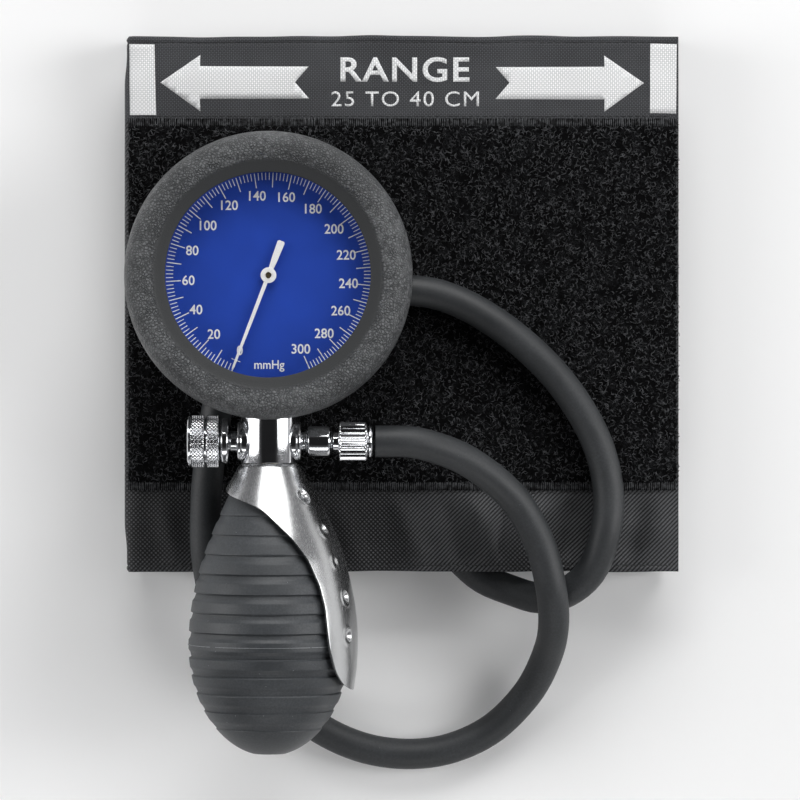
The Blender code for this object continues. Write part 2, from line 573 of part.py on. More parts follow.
def make_bulb(hand):
    """Hollow rubber bulb, open at its neck and at the intake valve in its end."""
    outer = [BULB_NECK_D + (BULB_SEAM - BULB_NECK_D) * (i / 8) for i in range(9)]
    sweep = [math.radians(90 * i / 5) for i in range(1, 5)]
    outer += [BULB_SEAM + (BULB_END - BULB_SEAM) * math.sin(a) for a in sweep]
    profile = [(bulb_radius(d), d) for d in outer]
    end = BULB_SEAM + (BULB_END - BULB_SEAM) * math.sqrt(1 - (INTAKE_BORE_R / BULB_R) ** 2)
    profile += [(INTAKE_BORE_R, end), (INTAKE_BORE_R, 119.3), (8.5, 119.3)]
    inner = [BULB_SEAM + 22.0, BULB_SEAM + 12.0, BULB_SEAM, 86.0, 76.0, 68.0]
    profile += [(bulb_radius(d, BULB_WALL), d) for d in inner]
    profile += [(NECK_BORE_R, 65.6), (NECK_BORE_R, BULB_NECK_D)]
    turned("bulb", profile, "rubber", 24, turn=ALONG_BULB, parent=hand)

    nipple = [(1.4, 48.2), (3.3, 48.2), (3.3, 53.8), (5.0, 53.8), (5.0, 63.6), (4.4, 64.6), (1.4, 64.6)]
    chamber = [(1.4, 60.0), (3.5, 60.0), (3.5, 57.4), (1.4, 57.4)]
    turned("bulb_nipple", nipple + chamber, "brass", 14, turn=ALONG_BULB, parent=hand)
    disc_at = (0, -59.3, 0)
    rod("outlet_valve_disc", 3.0, -0.4, 0.4, "rubber", 12, origin=disc_at, turn=ALONG_BULB, parent=hand)

    body = [(1.6, 119.9), (4.2, 119.9), (4.2, 128.2), (2.6, 128.2), (2.6, 127.2), (1.2, 127.2)]
    body += [(1.2, 126.2), (2.4, 125.0), (2.4, 121.0), (1.6, 121.0)]
    turned("intake_valve_body", body, "steel", 12, turn=ALONG_BULB, parent=hand)
    angles = [math.radians(180 * i / 6) for i in range(7)]
    ball = [(1.9 * math.sin(a), -1.9 * math.cos(a)) for a in angles]
    ball[0], ball[-1] = (0, -1.9), (0, 1.9)
    turned("intake_valve_ball", ball, "steel", 10, origin=(0, -124.2, 0), turn=ALONG_BULB, parent=hand)
    rod("intake_filter", 2.3, 127.5, 128.0, "steel", 12, turn=ALONG_BULB, parent=hand)


# Spoon: distance below the gauge centre, leaf radius, and half of the angle that it wraps.
SPOON_ROWS = (
    (50.25, 3.7, 180),
    (50.25, 7.2, 180),
    (50.9, 8.3, 180),
    (53.6, 9.7, 180),
    (56.8, 11.6, 180),
    (57.4, 12.0, 165),
    (58.2, 12.5, 149),
    (59.0, 12.9, 134),
    (59.8, 13.4, 119),
    (60.6, 13.8, 107),
    (62.5, 14.8, 94),
    (64.8, 15.9, 85),
    (69.6, 18.2, 69),
    (74.8, 20.1, 58),
    (82.0, 21.9, 50.5),
    (88.2, 23.1, 47.8),
    (94.1, 23.7, 47.2),
    (99.5, 23.8, 45.4),
    (105.3, 23.5, 39.6),
    (109.3, 22.9, 28.0),
    (110.8, 22.7, 8.0),
)
SPOON_COLUMNS = 14


def make_spoon(hand):
    """Pressed steel finger rest: a bell over the bulb's neck that opens into a curved leaf."""
    bm = bmesh.new()
    rows = []
    for distance, radius, half_angle in SPOON_ROWS:
        angles = [
            math.radians(half_angle * (2 * i / SPOON_COLUMNS - 1)) for i in range(SPOON_COLUMNS + 1)
        ]
        rows.append(
            [bm.verts.new((radius * math.cos(a), -distance, radius * math.sin(a))) for a in angles]
        )
    for upper, lower in zip(rows, rows[1:]):
        for i in range(SPOON_COLUMNS):
            bm.faces.new((upper[i], upper[i + 1], lower[i + 1], lower[i]))
    spoon = finish_mesh("spoon", bm, "steel", parent=hand)
    modifier = spoon.modifiers.new("sheet", "SOLIDIFY")
    modifier.thickness = SPOON_THICK * MM
    modifier.offset = 1
    angles = [math.radians(60 * i) for i in range(6)]
    hexagon = [(6.2 * math.cos(a), 6.2 * math.sin(a)) for a in angles]
    where = {"turn": ALONG_BULB, "parent": hand}
    plate("spoon_nut", hexagon, [circle(0, 0, 3.7, 18)], 51.4, 53.2, "steel", **where)


def arc(centre_x, centre_z, radius, start, end, steps=6):
    angles = [math.radians(start + (end - start) * i / steps) for i in range(steps + 1)]
    return [(centre_x + radius * math.cos(a), centre_z + radius * math.sin(a)) for a in angles]


def cuff_path():
    """Middle line of the cuff's cloth, from its tucked tail to the free end of its top layer."""
    tail_z = LAYER_LOW + 2 * FOLD_R
    high_z = LAYER_TOP - 2 * FOLD_R
    rise = []
    for i in range(9):
        share = i / 8
        rise.append((-8 - 56 * share, tail_z + (high_z - tail_z) * share**2 * (3 - 2 * share)))
    lower = [(TAIL_END_X, tail_z)] + arc(LEFT_FOLD_X, LAYER_LOW + FOLD_R, FOLD_R, 90, 270)
    lower += arc(RIGHT_FOLD_X, LAYER_LOW + FOLD_R, FOLD_R, -90, 90)
    upper = rise + arc(TOP_FOLD_X, high_z + FOLD_R, FOLD_R, 270, 90) + [(CUFF_END_X, LAYER_TOP)]
    return lower, upper


def strip(name, path, offset, thick, half_y, finish, parent=None):
    """A flat layer of cloth or rubber that follows a path in XZ, at an offset from it."""
    low_side, high_side = [], []
    for i, (x, z) in enumerate(path):
        before, after = path[max(i - 1, 0)], path[min(i + 1, len(path) - 1)]
        along = Vector((after[0] - before[0], after[1] - before[1])).normalized()
        across = Vector((-along.y, along.x))
        low_side.append(Vector((x, z)) + across * (offset - thick / 2))
        high_side.append(Vector((x, z)) + across * (offset + thick / 2))
    bm = bmesh.new()
    ends = []
    for y in (-half_y, half_y):
        loop = [[bm.verts.new((p.x, y, p.y)) for p in side] for side in (low_side, high_side)]
        ends.append(loop)
    for i in range(len(path) - 1):
        for low, high in ends:
            bm.faces.new((low[i], low[i + 1], high[i + 1], high[i]))
        for side in (0, 1):
            near, far = ends[0][side], ends[1][side]
            bm.faces.new((near[i], near[i + 1], far[i + 1], far[i]))
    for i in (0, -1):
        bm.faces.new((ends[0][0][i], ends[0][1][i], ends[1][1][i], ends[1][0][i]))
    return finish_mesh(name, bm, finish, parent=parent)


def make_cuff(cuff):
    """Outer and inner cloth, the bladder between them, the fastener patches and the port."""
    lower, upper = cuff_path()
    path = lower + upper
    strip("cuff_outer_fabric", path, CLOTH_OFFSET, CLOTH, CUFF_HALF_Y, "cloth", cuff)
    inner = strip("cuff_inner_fabric", path, -CLOTH_OFFSET, CLOTH, CUFF_HALF_Y, "cloth", cuff)
    under_top = LAYER_TOP - CLOTH_OFFSET - CLOTH / 2
    hole = rod(
        "port_hole", 3.3, under_top - 1, under_top + CLOTH + 0.2, "cloth", 20, origin=(PORT_X, PORT_Y, 0)
    )
    hole.parent = cuff
    combine(inner, hole, "DIFFERENCE")
    bladder = [point for point in upper if point[0] < 60] + [(64, LAYER_TOP)]
    strip("bladder", bladder, 0, BLADDER, 60, "rubber", cuff)

    low = LAYER_TOP + CLOTH_OFFSET + CLOTH / 2 + GAP
    corners = ((-PILE_HALF_X, PILE_LOW_Y, low), (PILE_HALF_X, PILE_HIGH_Y, PILE_TOP))
    patch = block("loop_patch", *corners, "pile", parent=cuff)
    soften = patch.modifiers.new("soft_edge", "BEVEL")
    soften.width = 0.4 * MM
    soften.segments = 2
    tail_top = LAYER_LOW + 2 * FOLD_R + CLOTH_OFFSET + CLOTH / 2 + GAP
    block("hook_patch", (-68, -50, tail_top), (-44, 50, tail_top + 1.4), "pile", parent=cuff)

    spigot_at = (PORT_X, PORT_Y, HOSE_ROUTE[-1][2])
    to_hose = Vector(HOSE_ROUTE[-1]) - Vector(spigot_at)
    flange = [(0, 7.4), (3.4, 7.4), (4.2, 8.2), (4.2, 14.2), (8.0, 14.6), (8.0, under_top - GAP)]
    flange += [(3.0, under_top - GAP), (3.0, under_top + CLOTH), (0, under_top + CLOTH)]
    port = turned("cuff_port", flange, "rubber", 14, origin=(PORT_X, PORT_Y, 0), parent=cuff)
    spigot = rod(
        "port_spigot",
        PORT_SPIGOT_R,
        1.0,
        to_hose.length - GAP,
        "rubber",
        12,
        origin=spigot_at,
        turn=to_hose.to_track_quat("Z", "Y").to_euler(),
        parent=cuff,
    )
    combine(port, spigot, "UNION")


def main():
    clear_scene()
    hand = frame_at("hand_unit_axis", HAND_X, HAND_Y, HAND_Z)
    cuff = frame_at("cuff_base", 0, 0, 0)
    make_gauge(hand)
    make_movement(hand)
    make_rocker_and_capsule(hand)
    make_pressure_line(hand)
    make_manifold(hand)
    make_release_valve(hand)
    make_hose_connector(hand)
    make_bulb(hand)
    make_spoon(hand)
    make_cuff(cuff)
    tube("hose", smooth_route(HOSE_ROUTE, HOSE_STEP), HOSE_R, "hose", resolution=2)


main()
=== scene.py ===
import json
import math

import bmesh
import bpy
import numpy as np
from mathutils import Matrix, Vector, noise


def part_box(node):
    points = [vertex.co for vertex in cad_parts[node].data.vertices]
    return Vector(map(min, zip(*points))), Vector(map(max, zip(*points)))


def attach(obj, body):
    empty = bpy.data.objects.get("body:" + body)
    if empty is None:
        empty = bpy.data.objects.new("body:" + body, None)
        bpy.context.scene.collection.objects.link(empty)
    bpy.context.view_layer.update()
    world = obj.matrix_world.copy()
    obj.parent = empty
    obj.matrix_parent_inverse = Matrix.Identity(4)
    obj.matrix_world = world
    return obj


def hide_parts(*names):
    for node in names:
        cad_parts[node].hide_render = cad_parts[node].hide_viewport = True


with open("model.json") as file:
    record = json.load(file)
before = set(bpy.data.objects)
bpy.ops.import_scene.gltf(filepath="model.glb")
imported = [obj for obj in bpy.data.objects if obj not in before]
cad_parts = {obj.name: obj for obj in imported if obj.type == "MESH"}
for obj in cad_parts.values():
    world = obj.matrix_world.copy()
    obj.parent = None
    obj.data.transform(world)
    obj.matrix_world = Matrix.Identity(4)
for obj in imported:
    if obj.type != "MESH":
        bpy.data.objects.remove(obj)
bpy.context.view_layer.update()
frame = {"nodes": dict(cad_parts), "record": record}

# Looks of the palm-type aneroid blood pressure monitor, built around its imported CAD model.
# Sizes below are in millimetres, and MM turns them into the metres of the frame.
MM = 0.001
rng = np.random.default_rng(7)


def centre_of(node):
    low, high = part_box(node)
    return (Vector(low) + Vector(high)) / 2 / MM


# The hand unit's axis runs along Y through the gauge's centre; D is a distance below it (toward -Y).
GAUGE = Vector((centre_of("bumper").x, centre_of("bumper").y, centre_of("lens").z - 10.25))
CROSS_D = GAUGE.y - centre_of("valve_knob").y
ALONG_BULB = Matrix.Translation(GAUGE) @ Matrix.Rotation(math.radians(90), 4, "X")
GAUGE_UP = Matrix.Translation(GAUGE)
TO_KNOB = Matrix.Translation(GAUGE - Vector((0, CROSS_D, 0))) @ Matrix.Rotation(math.radians(-90), 4, "Y")
TO_HOSE = Matrix.Translation(GAUGE - Vector((0, CROSS_D, 0))) @ Matrix.Rotation(math.radians(90), 4, "Y")

HOSE_R = 4.25
HOSE_ROUTE = (
    (-7.3, -37.5, 44.6), (2.5, -37.7, 44.3), (9.1, -39.3, 42.4), (15.5, -41.8, 39.9),
    (21.6, -45.5, 37.2), (27.1, -50.0, 34.9), (31.6, -55.0, 33.0), (37.5, -66.1, 31.0),
    (40.5, -78.4, 29.9), (41.2, -88.0, 25.2), (39.6, -97.0, 16.0), (34.4, -107.8, 8.0),
    (24.3, -118.0, 4.9), (11.8, -123.5, 4.6), (-0.7, -124.6, 4.6), (-13.2, -122.2, 4.6),
    (-26.0, -115.5, 4.9), (-39.0, -102.8, 8.0), (-47.3, -90.8, 14.0), (-51.4, -80.6, 21.4),
    (-53.6, -68.0, 25.0), (-53.7, -55.0, 25.2), (-52.5, -41.4, 25.1), (-48.2, -19.6, 25.05),
    (-41.6, -9.5, 25.05), (-31.5, -1.6, 25.05), (-19.8, 2.4, 25.05), (-5.0, 3.6, 25.05),
    (10.0, 2.3, 25.05), (25.4, -5.3, 25.05), (42.1, -20.2, 25.05), (52.9, -37.6, 25.1),
    (56.2, -52.0, 25.2), (55.2, -63.0, 25.9), (51.4, -73.3, 24.1), (44.9, -79.0, 21.4),
    (37.6, -80.8, 17.0), (30.0, -78.9, 12.2), (21.9, -75.5, 11.0), (14.1, -68.6, 11.4),
    (5.66, -61.5, 11.3),
)


# ---- mesh helpers
def detail(full, quick):
    return full


def configure(thing, **settings):
    for name, value in settings.items():
        setattr(thing, name, value)
    return thing


def link(name, data, body, material=None):
    obj = bpy.data.objects.new(name, data)
    bpy.context.scene.collection.objects.link(obj)
    if material:
        data.materials.append(material)
    if body:
        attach(obj, body)
    return obj


def crisp(mesh, degrees):
    """Shades a mesh smooth, but for the edges where its faces meet at more than the angle."""
    mesh.shade_smooth()
    mesh.set_sharp_from_angle(angle=math.radians(degrees))


def mesh_from(name, verts, faces, body, material, matrix=None, sharp=None):
    """A mesh object from points in millimetres, moved by matrix, shaded smooth."""
    mesh = bpy.data.meshes.new(name)
    mesh.from_pydata([tuple(v) for v in verts], [], faces)
    if matrix is not None:
        mesh.transform(matrix)
    mesh.transform(Matrix.Diagonal((MM, MM, MM, 1)))
    mesh.validate()
    mesh.shade_smooth()
    if sharp:
        crisp(mesh, sharp)
    return link(name, mesh, body, material)


def tube_faces(rings, around):
    """Faces of a tube whose points run round it, ring after ring."""
    faces = []
    for ring in range(rings - 1):
        for k in range(around):
            a, b = ring * around + k, ring * around + (k + 1) % around
            faces.append((a, b, b + around, a + around))
    return faces


def slab(top, bottom):
    """Points and faces of a closed sheet between two grids of points, given as rows."""
    rows, count = len(top), len(top[0])
    around = 2 * count
    verts = [point for upper, lower in zip(top, bottom) for point in (*upper, *reversed(lower))]
    faces = tube_faces(rows, around)
    for start in (0, (rows - 1) * around):
        for j in range(count - 1):
            facing = start + around - 1 - j
            faces.append((start + j, start + j + 1, facing - 1, facing))
    return verts, faces


def outward(obj):
    bm = bmesh.new()
    bm.from_mesh(obj.data)
    bmesh.ops.remove_doubles(bm, verts=bm.verts[:], dist=1e-7)
    bmesh.ops.recalc_face_normals(bm, faces=bm.faces[:])
    bm.to_mesh(obj.data)
    bm.free()
    return obj


def lathe(name, profile, steps, body, material, matrix, radius_at=None, sharp=40):
    """A closed outline of (radius, height) turned about Z, with radius_at to shape it as it goes round."""
    verts, rings = [], []
    for radius, height in profile:
        count = 1 if radius < 1e-6 else steps
        rings.append((len(verts), count))
        for i in range(count):
            angle = 2 * math.pi * i / steps
            r = radius_at(radius, height, angle) if radius_at and count > 1 else radius
            verts.append((r * math.cos(angle), r * math.sin(angle), height))
    faces = []
    for (a, na), (b, nb) in zip(rings, rings[1:] + rings[:1]):
        if na == 1 and nb == 1:
            continue
        for i in range(steps):
            j = (i + 1) % steps
            corners = [a + i % na, a + j % na, b + j % nb, b + i % nb]
            faces.append(list(dict.fromkeys(corners)))
    return outward(mesh_from(name, verts, faces, body, material, matrix, sharp))


def rounded(points, radius=0.25, steps=3):
    """Rounds the corners of a closed outline of (radius, height), except those on the axis."""
    result = []
    count = len(points)
    for i, point in enumerate(points):
        here = Vector(point)
        before, after = Vector(points[i - 1]), Vector(points[(i + 1) % count])
        if point[0] < 1e-6:
            result.append(point)
            continue
        reach = min(radius, (before - here).length * 0.45, (after - here).length * 0.45)
        start = here + (before - here).normalized() * reach
        end = here + (after - here).normalized() * reach
        for k in range(steps + 1):
            t = k / steps
            result.append(tuple(start * (1 - t) ** 2 + here * 2 * t * (1 - t) + end * t**2))
    return result


def join(objs):
    """Joins meshes into the first one."""
    bm = bmesh.new()
    for obj in objs:
        bm.from_mesh(obj.data)
    bm.to_mesh(objs[0].data)
    bm.free()
    for obj in objs[1:]:
        bpy.data.objects.remove(obj, do_unlink=True)
    return objs[0]


def modify(obj, kind, **settings):
    """Puts an object's mesh through a modifier."""
    configure(obj.modifiers.new(kind.lower(), kind), **settings)
    graph = bpy.context.evaluated_depsgraph_get()
    mesh = bpy.data.meshes.new_from_object(obj.evaluated_get(graph))
    obj.modifiers.clear()
    obj.data = mesh
    return obj


def boolean(obj, other, operation):
    """Cuts the other object out of obj, or fuses it to obj, and removes it."""
    modify(obj, "BOOLEAN", operation=operation, solver="EXACT", object=other)
    bpy.data.objects.remove(other, do_unlink=True)


def evenly_spaced(places, step):
    """Points about a step apart on the line through the places, and the line's length."""
    reach = np.cumsum([0, *np.linalg.norm(np.diff(places, axis=0), axis=1)])
    goals = np.linspace(0, reach[-1], round(reach[-1] / step) + 1)
    spaced = [np.interp(goals, reach, axis) for axis in np.transpose(places)]
    return np.stack(spaced, axis=1), float(reach[-1])


def smooth_route(points, step):
    """Evenly spaced points on the centripetal Catmull-Rom curve through the route's points."""
    route = np.array(points)
    knots = [2 * route[0] - route[1], *route, 2 * route[-1] - route[-2]]
    dense = []
    for a, b, c, d in zip(knots, knots[1:], knots[2:], knots[3:]):
        t1, gap, last_gap = (np.linalg.norm(q - p) ** 0.5 for p, q in ((a, b), (b, c), (c, d)))
        t2, t3 = t1 + gap, t1 + gap + last_gap
        for t in np.linspace(t1, t2, 16, endpoint=False):
            ab = (a * (t1 - t) + b * t) / t1
            bc = (b * (t2 - t) + c * (t - t1)) / gap
            cd = (c * (t3 - t) + d * (t - t2)) / last_gap
            abc = (ab * (t2 - t) + bc * t) / t2
            bcd = (bc * (t3 - t) + cd * (t - t1)) / (t3 - t1)
            dense.append((abc * (t2 - t) + bcd * (t - t1)) / gap)
    dense.append(knots[-2])
    return evenly_spaced(dense, step)


# ---- camera, light and floor, in metres
FLOOR_REACH, FLOOR_GAP = 14, 0.0004


def make_stage():
    scene = bpy.context.scene
    scene.view_settings.view_transform = "Standard"
    scene.camera = link("camera", configure(bpy.data.cameras.new("camera"), sensor_width=36, lens=197), None)
    scene.camera.location = (-0.0007, -0.0264, 1.22)

    world = bpy.data.worlds.new("studio")
    world.use_nodes = True
    tree = world.node_tree
    up = tree.nodes.new("ShaderNodeSeparateXYZ")
    tree.links.new(tree.nodes.new("ShaderNodeTexCoord").outputs["Generated"], up.inputs[0])
    fade = tree.nodes.new("ShaderNodeValToRGB")
    tree.links.new(up.outputs[2], fade.inputs["Fac"])
    tree.links.new(fade.outputs["Color"], tree.nodes["Background"].inputs["Color"])
    levels = ((0.0, 0.24), (0.30, 0.22), (0.70, 0.13), (0.88, 0.015))
    set_stops(fade.color_ramp, [(height, (level, level, level * 1.03)) for height, level in levels])
    scene.world = world

    def softbox(name, place, aim, width, height, watts, spread):
        light = configure(bpy.data.lights.new(name, "AREA"), shape="RECTANGLE", size=width, size_y=height)
        configure(light, energy=watts, spread=math.radians(spread))
        obj = configure(link(name, light, None), location=place)
        toward = (Vector(aim) - Vector(place)).normalized()
        obj.rotation_euler = toward.to_track_quat("-Z", "Y").to_euler()

    softbox("top_box", (0.26, 1.90, 1.25), (0, 0, 0), 2.1, 1.4, 15.6, 100)
    softbox("left_box", (-1.90, 0.09, 0.90), (0, 0, 0.03), 0.78, 1.9, 3.85, 70)
    softbox("right_box", (1.82, 0.17, 1.12), (0, 0, 0.03), 0.78, 1.9, 4.2, 60)
    softbox("low_box", (0.09, -1.65, 1.05), (0, 0, 0.03), 1.56, 0.52, 3.4, 120)

    floor_mesh = bpy.data.meshes.new("floor")
    corners = [(-FLOOR_REACH, -FLOOR_REACH, 0), (FLOOR_REACH, -FLOOR_REACH, 0)]
    corners += [(FLOOR_REACH, FLOOR_REACH, 0), (-FLOOR_REACH, FLOOR_REACH, 0)]
    floor_mesh.from_pydata(corners, [], [(0, 1, 2, 3)])
    floor = link("floor", floor_mesh, None, plain_material("floor_paint", (0.95, 0.95, 0.95), 0.9))
    floor.location.z = -FLOOR_GAP


# ---- materials
def plain_material(name, colour, roughness, metallic=0.0):
    material = bpy.data.materials.new(name)
    material.use_nodes = True
    shader = material.node_tree.nodes["Principled BSDF"]
    shader.inputs["Base Color"].default_value = (*colour, 1)
    shader.inputs["Roughness"].default_value = roughness
    shader.inputs["Metallic"].default_value = metallic
    return material


def toned(colour, factor):
    return tuple(channel * factor for channel in colour)


def set_stops(ramp, stops):
    while len(ramp.elements) < len(stops):
        ramp.elements.new(0.5)
    for element, (position, colour) in zip(ramp.elements, stops):
        element.position = position
        element.color = (*colour, 1)


def put(socket, value):
    """Links a field to a socket, or sets the socket to a plain number or colour."""
    if isinstance(value, Field):
        value.tree.links.new(value.socket, socket)
    else:
        socket.default_value = value


class Field:
    """A value in a node tree, on which plain arithmetic works by adding Math nodes."""

    def __init__(self, tree, socket):
        self.tree, self.socket = tree, socket

    def math(self, operation, *others):
        node = configure(self.tree.nodes.new("ShaderNodeMath"), operation=operation)
        for socket, value in zip(node.inputs, (self, *others)):
            put(socket, value)
        return Field(self.tree, node.outputs[0])

    def __add__(self, other):
        return self.math("ADD", other)

    def __sub__(self, other):
        return self.math("SUBTRACT", other)

    def __mul__(self, other):
        return self.math("MULTIPLY", other)


class Nodes:
    """Short calls for building a material's node tree around its Principled shader."""

    def __init__(self, name, colour, roughness, metallic=0.0):
        self.material = plain_material(name, colour, roughness, metallic)
        self.tree = self.material.node_tree
        self.shader = self.tree.nodes["Principled BSDF"]
        self.place = self.add("ShaderNodeTexCoord", "Object", {})

    def add(self, kind, output, inputs, **settings):
        """One output of a new node with its settings and inputs filled in."""
        node = configure(self.tree.nodes.new(kind), **settings)
        for key, value in inputs.items():
            put(node.inputs[key], value)
        return Field(self.tree, node.outputs[output])

    def set(self, name, value):
        self.shader.inputs[name].default_value = value

    def noise(self, scale, detail=3.0, roughness=0.5, vector=None, distortion=0.0):
        inputs = {"Vector": vector or self.place, "Scale": scale, "Detail": detail}
        inputs |= {"Roughness": roughness, "Distortion": distortion}
        return self.add("ShaderNodeTexNoise", "Fac", inputs)

    def voronoi(self, scale, feature="F1", vector=None):
        inputs = {"Vector": vector or self.place, "Scale": scale}
        return self.add("ShaderNodeTexVoronoi", "Distance", inputs, feature=feature)

    def stretch(self, x, y, z):
        return self.add("ShaderNodeMapping", "Vector", {"Vector": self.place, "Scale": (x, y, z)})

    def wandering(self, scale, reach_mm):
        """The place, shifted about by up to the reach, so that what follows it isn't ruler straight."""
        drift = self.add("ShaderNodeTexNoise", "Color", {"Vector": self.place, "Scale": scale})
        inputs = {0: drift, 1: (reach_mm * MM,) * 3, 2: self.place}
        return self.add("ShaderNodeVectorMath", 0, inputs, operation="MULTIPLY_ADD")

    def axes(self, vector):
        return [self.add("ShaderNodeSeparateXYZ", axis, {0: vector}) for axis in range(3)]

    def ramp(self, value, *stops):
        node = self.tree.nodes.new("ShaderNodeValToRGB")
        put(node.inputs["Fac"], value)
        set_stops(node.color_ramp, stops)
        return Field(self.tree, node.outputs["Color"])

    def remap(self, value, low, high, to_low=0.0, to_high=1.0):
        inputs = dict(enumerate((value, low, high, to_low, to_high)))
        return self.add("ShaderNodeMapRange", "Result", inputs)

    def bump(self, height, distance_mm, strength=1.0, **below):
        inputs = {"Height": height, "Distance": distance_mm * MM, "Strength": strength, **below}
        return self.add("ShaderNodeBump", "Normal", inputs)

    def finish(self, colour=None, roughness=None, normal=None):
        for key, value in (("Base Color", colour), ("Roughness", roughness), ("Normal", normal)):
            if value is not None:
                put(self.shader.inputs[key], value)
        return self.material


def moulded_rubber(name, colour, roughness, grain_mm, depth_mm, speck=0.0):
    """Matte rubber with a moulded grain, uneven bloom and, where speck is set, pale dust specks."""
    n = Nodes(name, colour, roughness)
    grain, bloom = n.noise(1000 / grain_mm, 2, 0.6), n.noise(55, 3, 0.6)
    light = n.remap(grain * bloom, 0.12, 0.42)
    shade = n.ramp(light, (0.0, toned(colour, 0.72)), (0.5, colour), (1.0, toned(colour, 1.35)))
    if speck:
        dots = n.voronoi(900).math("LESS_THAN", speck) * n.noise(330, 1).math("GREATER_THAN", 0.66)
        inputs = {0: dots, 6: shade, 7: (0.30, 0.31, 0.32, 1)}
        shade = n.add("ShaderNodeMix", 2, inputs, data_type="RGBA")
    gloss = n.remap(bloom, 0.3, 0.7, roughness - 0.07, roughness + 0.08)
    return n.finish(shade, gloss, n.bump(grain, depth_mm))


# The bumper's inner slope turns into its crown between these two radii, in metres.
CROWN_START_M, CROWN_FULL_M = 0.0300, 0.0311


def bumper_rubber():
    """Coarse cracked grain on the bumper's rim and crown, with pale flecks on the crown that are painted
    highlights, and a darker, finer grain on its inner slope.
    """
    n = Nodes("bumper_rubber", (0.06, 0.063, 0.067), 0.52)
    inputs = {0: n.place, 1: tuple(GAUGE * MM)}
    x, y, _ = n.axes(n.add("ShaderNodeVectorMath", 0, inputs, operation="SUBTRACT"))
    crown = n.remap((x * x + y * y).math("SQRT"), CROWN_START_M, CROWN_FULL_M)
    cracks = n.voronoi(1250, "DISTANCE_TO_EDGE", n.wandering(700, 0.7))
    plateau = n.remap(cracks, 0.02, 0.30)
    fine = n.noise(2600, 2, 0.6)
    height = (fine * 0.35 + plateau * 0.75) * crown + fine * 0.22
    # Painted highlight: on the crown only, the colour rises in pale flecks towards light grey, standing in
    # for light caught by the grain on the crest.
    glint_patches = n.noise(520, 2, 0.6) * n.noise(60, 2)
    tone = (glint_patches * 1.6 + plateau * 0.5) * crown
    stops = (0.0, (0.020, 0.0215, 0.023)), (0.42, (0.028, 0.030, 0.032)), (1.0, (0.140, 0.145, 0.150))
    gloss = n.remap(crown, 0.0, 1.0, 0.62, 0.44)
    return n.finish(n.ramp(tone, *stops), gloss, n.bump(height, 0.30))


def plated(name, colour, roughness):
    """Bright plated metal with faint polishing haze and hairline wear."""
    n = Nodes(name, colour, roughness, 1.0)
    haze, lines = n.noise(260, 4, 0.6), n.noise(900, 2, 0.7, n.stretch(1, 14, 1))
    gloss = n.remap(haze * lines, 0.1, 0.4, roughness * 0.6, roughness * 1.8)
    shade = n.ramp(haze, (0.3, toned(colour, 0.92)), (0.7, colour))
    return n.finish(shade, gloss, n.bump(lines, 0.004))


def satin_steel(name, colour, roughness):
    """Blasted and brushed stainless sheet: short brush lines over a fine satin grain."""
    n = Nodes(name, colour, roughness, 1.0)
    brush, grain = n.noise(700, 4, 0.65, n.stretch(30, 1, 1)), n.noise(2600, 2, 0.5)
    gloss = n.remap(brush, 0.3, 0.7, roughness - 0.02, roughness + 0.05)
    shade = n.ramp(brush, (0.25, toned(colour, 0.93)), (0.75, colour))
    return n.finish(shade, gloss, n.bump(grain, 0.006, 0.5, Normal=n.bump(brush, 0.003)))


# Above this height, in metres, the weave follows x alone, so that the top layer's creases don't bend it.
FOLD_TOP_M = 0.0145


def weave_coordinates(n, pitch_mm):
    """Thread counts across and along the cloth, with a slow wander in them."""
    x, y, z = n.axes(n.wandering(60, 0.5))
    cells = 1000 / pitch_mm
    return (x + z.math("MINIMUM", FOLD_TOP_M)) * cells, y * cells


def wave(value):
    return (value * math.pi).math("SINE").math("ABSOLUTE")


def woven(name, dark, pale, pitch_mm, depth_mm, roughness=0.75, sheen_spread=0.25):
    """Plain-weave cloth: warp and weft threads cross over one another in a checker of cells, with shade
    painted into the hollows and onto the threads that pass under, and broad patches of painted sheen.
    """
    n = Nodes(name, pale, roughness)
    n.set("Sheen Weight", 0.15)
    n.set("Sheen Roughness", 0.4)
    n.set("Specular IOR Level", 0.25)
    u, v = weave_coordinates(n, pitch_mm)
    across, down = wave(u), wave(v)
    parity = (u.math("FLOOR") + v.math("FLOOR")).math("PINGPONG", 1.0)
    over = across * parity + down * (parity * -1.0 + 1.0)
    height = over * 0.45 + (across * down).math("POWER", 0.5) * 0.55
    # Painted sheen: broad patches where the cloth's colour is lifted or lowered, standing in for moire sheen.
    sheen_patches = n.remap(n.noise(38, 4, 0.6), 0.3, 0.7, -sheen_spread / 2, sheen_spread / 2)
    # Painted shade: the colour darkens with thread height into the hollows between threads, and in the cells
    # where the thread passes under.
    tone = height * n.remap(parity, 0, 1, 0.62, 1.0) + sheen_patches
    return n.finish(n.ramp(tone, (0.12, dark), (0.85, pale)), None, n.bump(height, depth_mm, 0.9))


def twill(name, dark, pale, pitch_mm, depth_mm):
    """Oxford nylon whose crossed diagonal ribs are painted pale at their crests, as highlights that catch the
    light as diamonds or, in places, as stripes.
    """
    n = Nodes(name, pale, 0.6)
    n.set("Sheen Weight", 0.10)
    n.set("Specular IOR Level", 0.22)
    u, v = weave_coordinates(n, pitch_mm * math.sqrt(2))
    stripes = n.remap(n.noise(22, 1), 0.42, 0.58, 0.15, 0.85)
    height = wave(v - u) * wave(v + u).math("MAXIMUM", stripes)
    threads = n.remap(n.noise(1600, 2, 0.6, n.stretch(1, 3, 1)), 0.3, 0.7, 0.75, 1.1)
    # Painted highlight and shade: the colour follows the rib height, pale on the crests and dark in the
    # hollows between them.
    tone = height * threads + n.remap(n.noise(30, 3, 0.6), 0.3, 0.7, -0.12, 0.12)
    return n.finish(n.ramp(tone, (0.30, dark), (0.95, pale)), None, n.bump(height, depth_mm, 0.9))


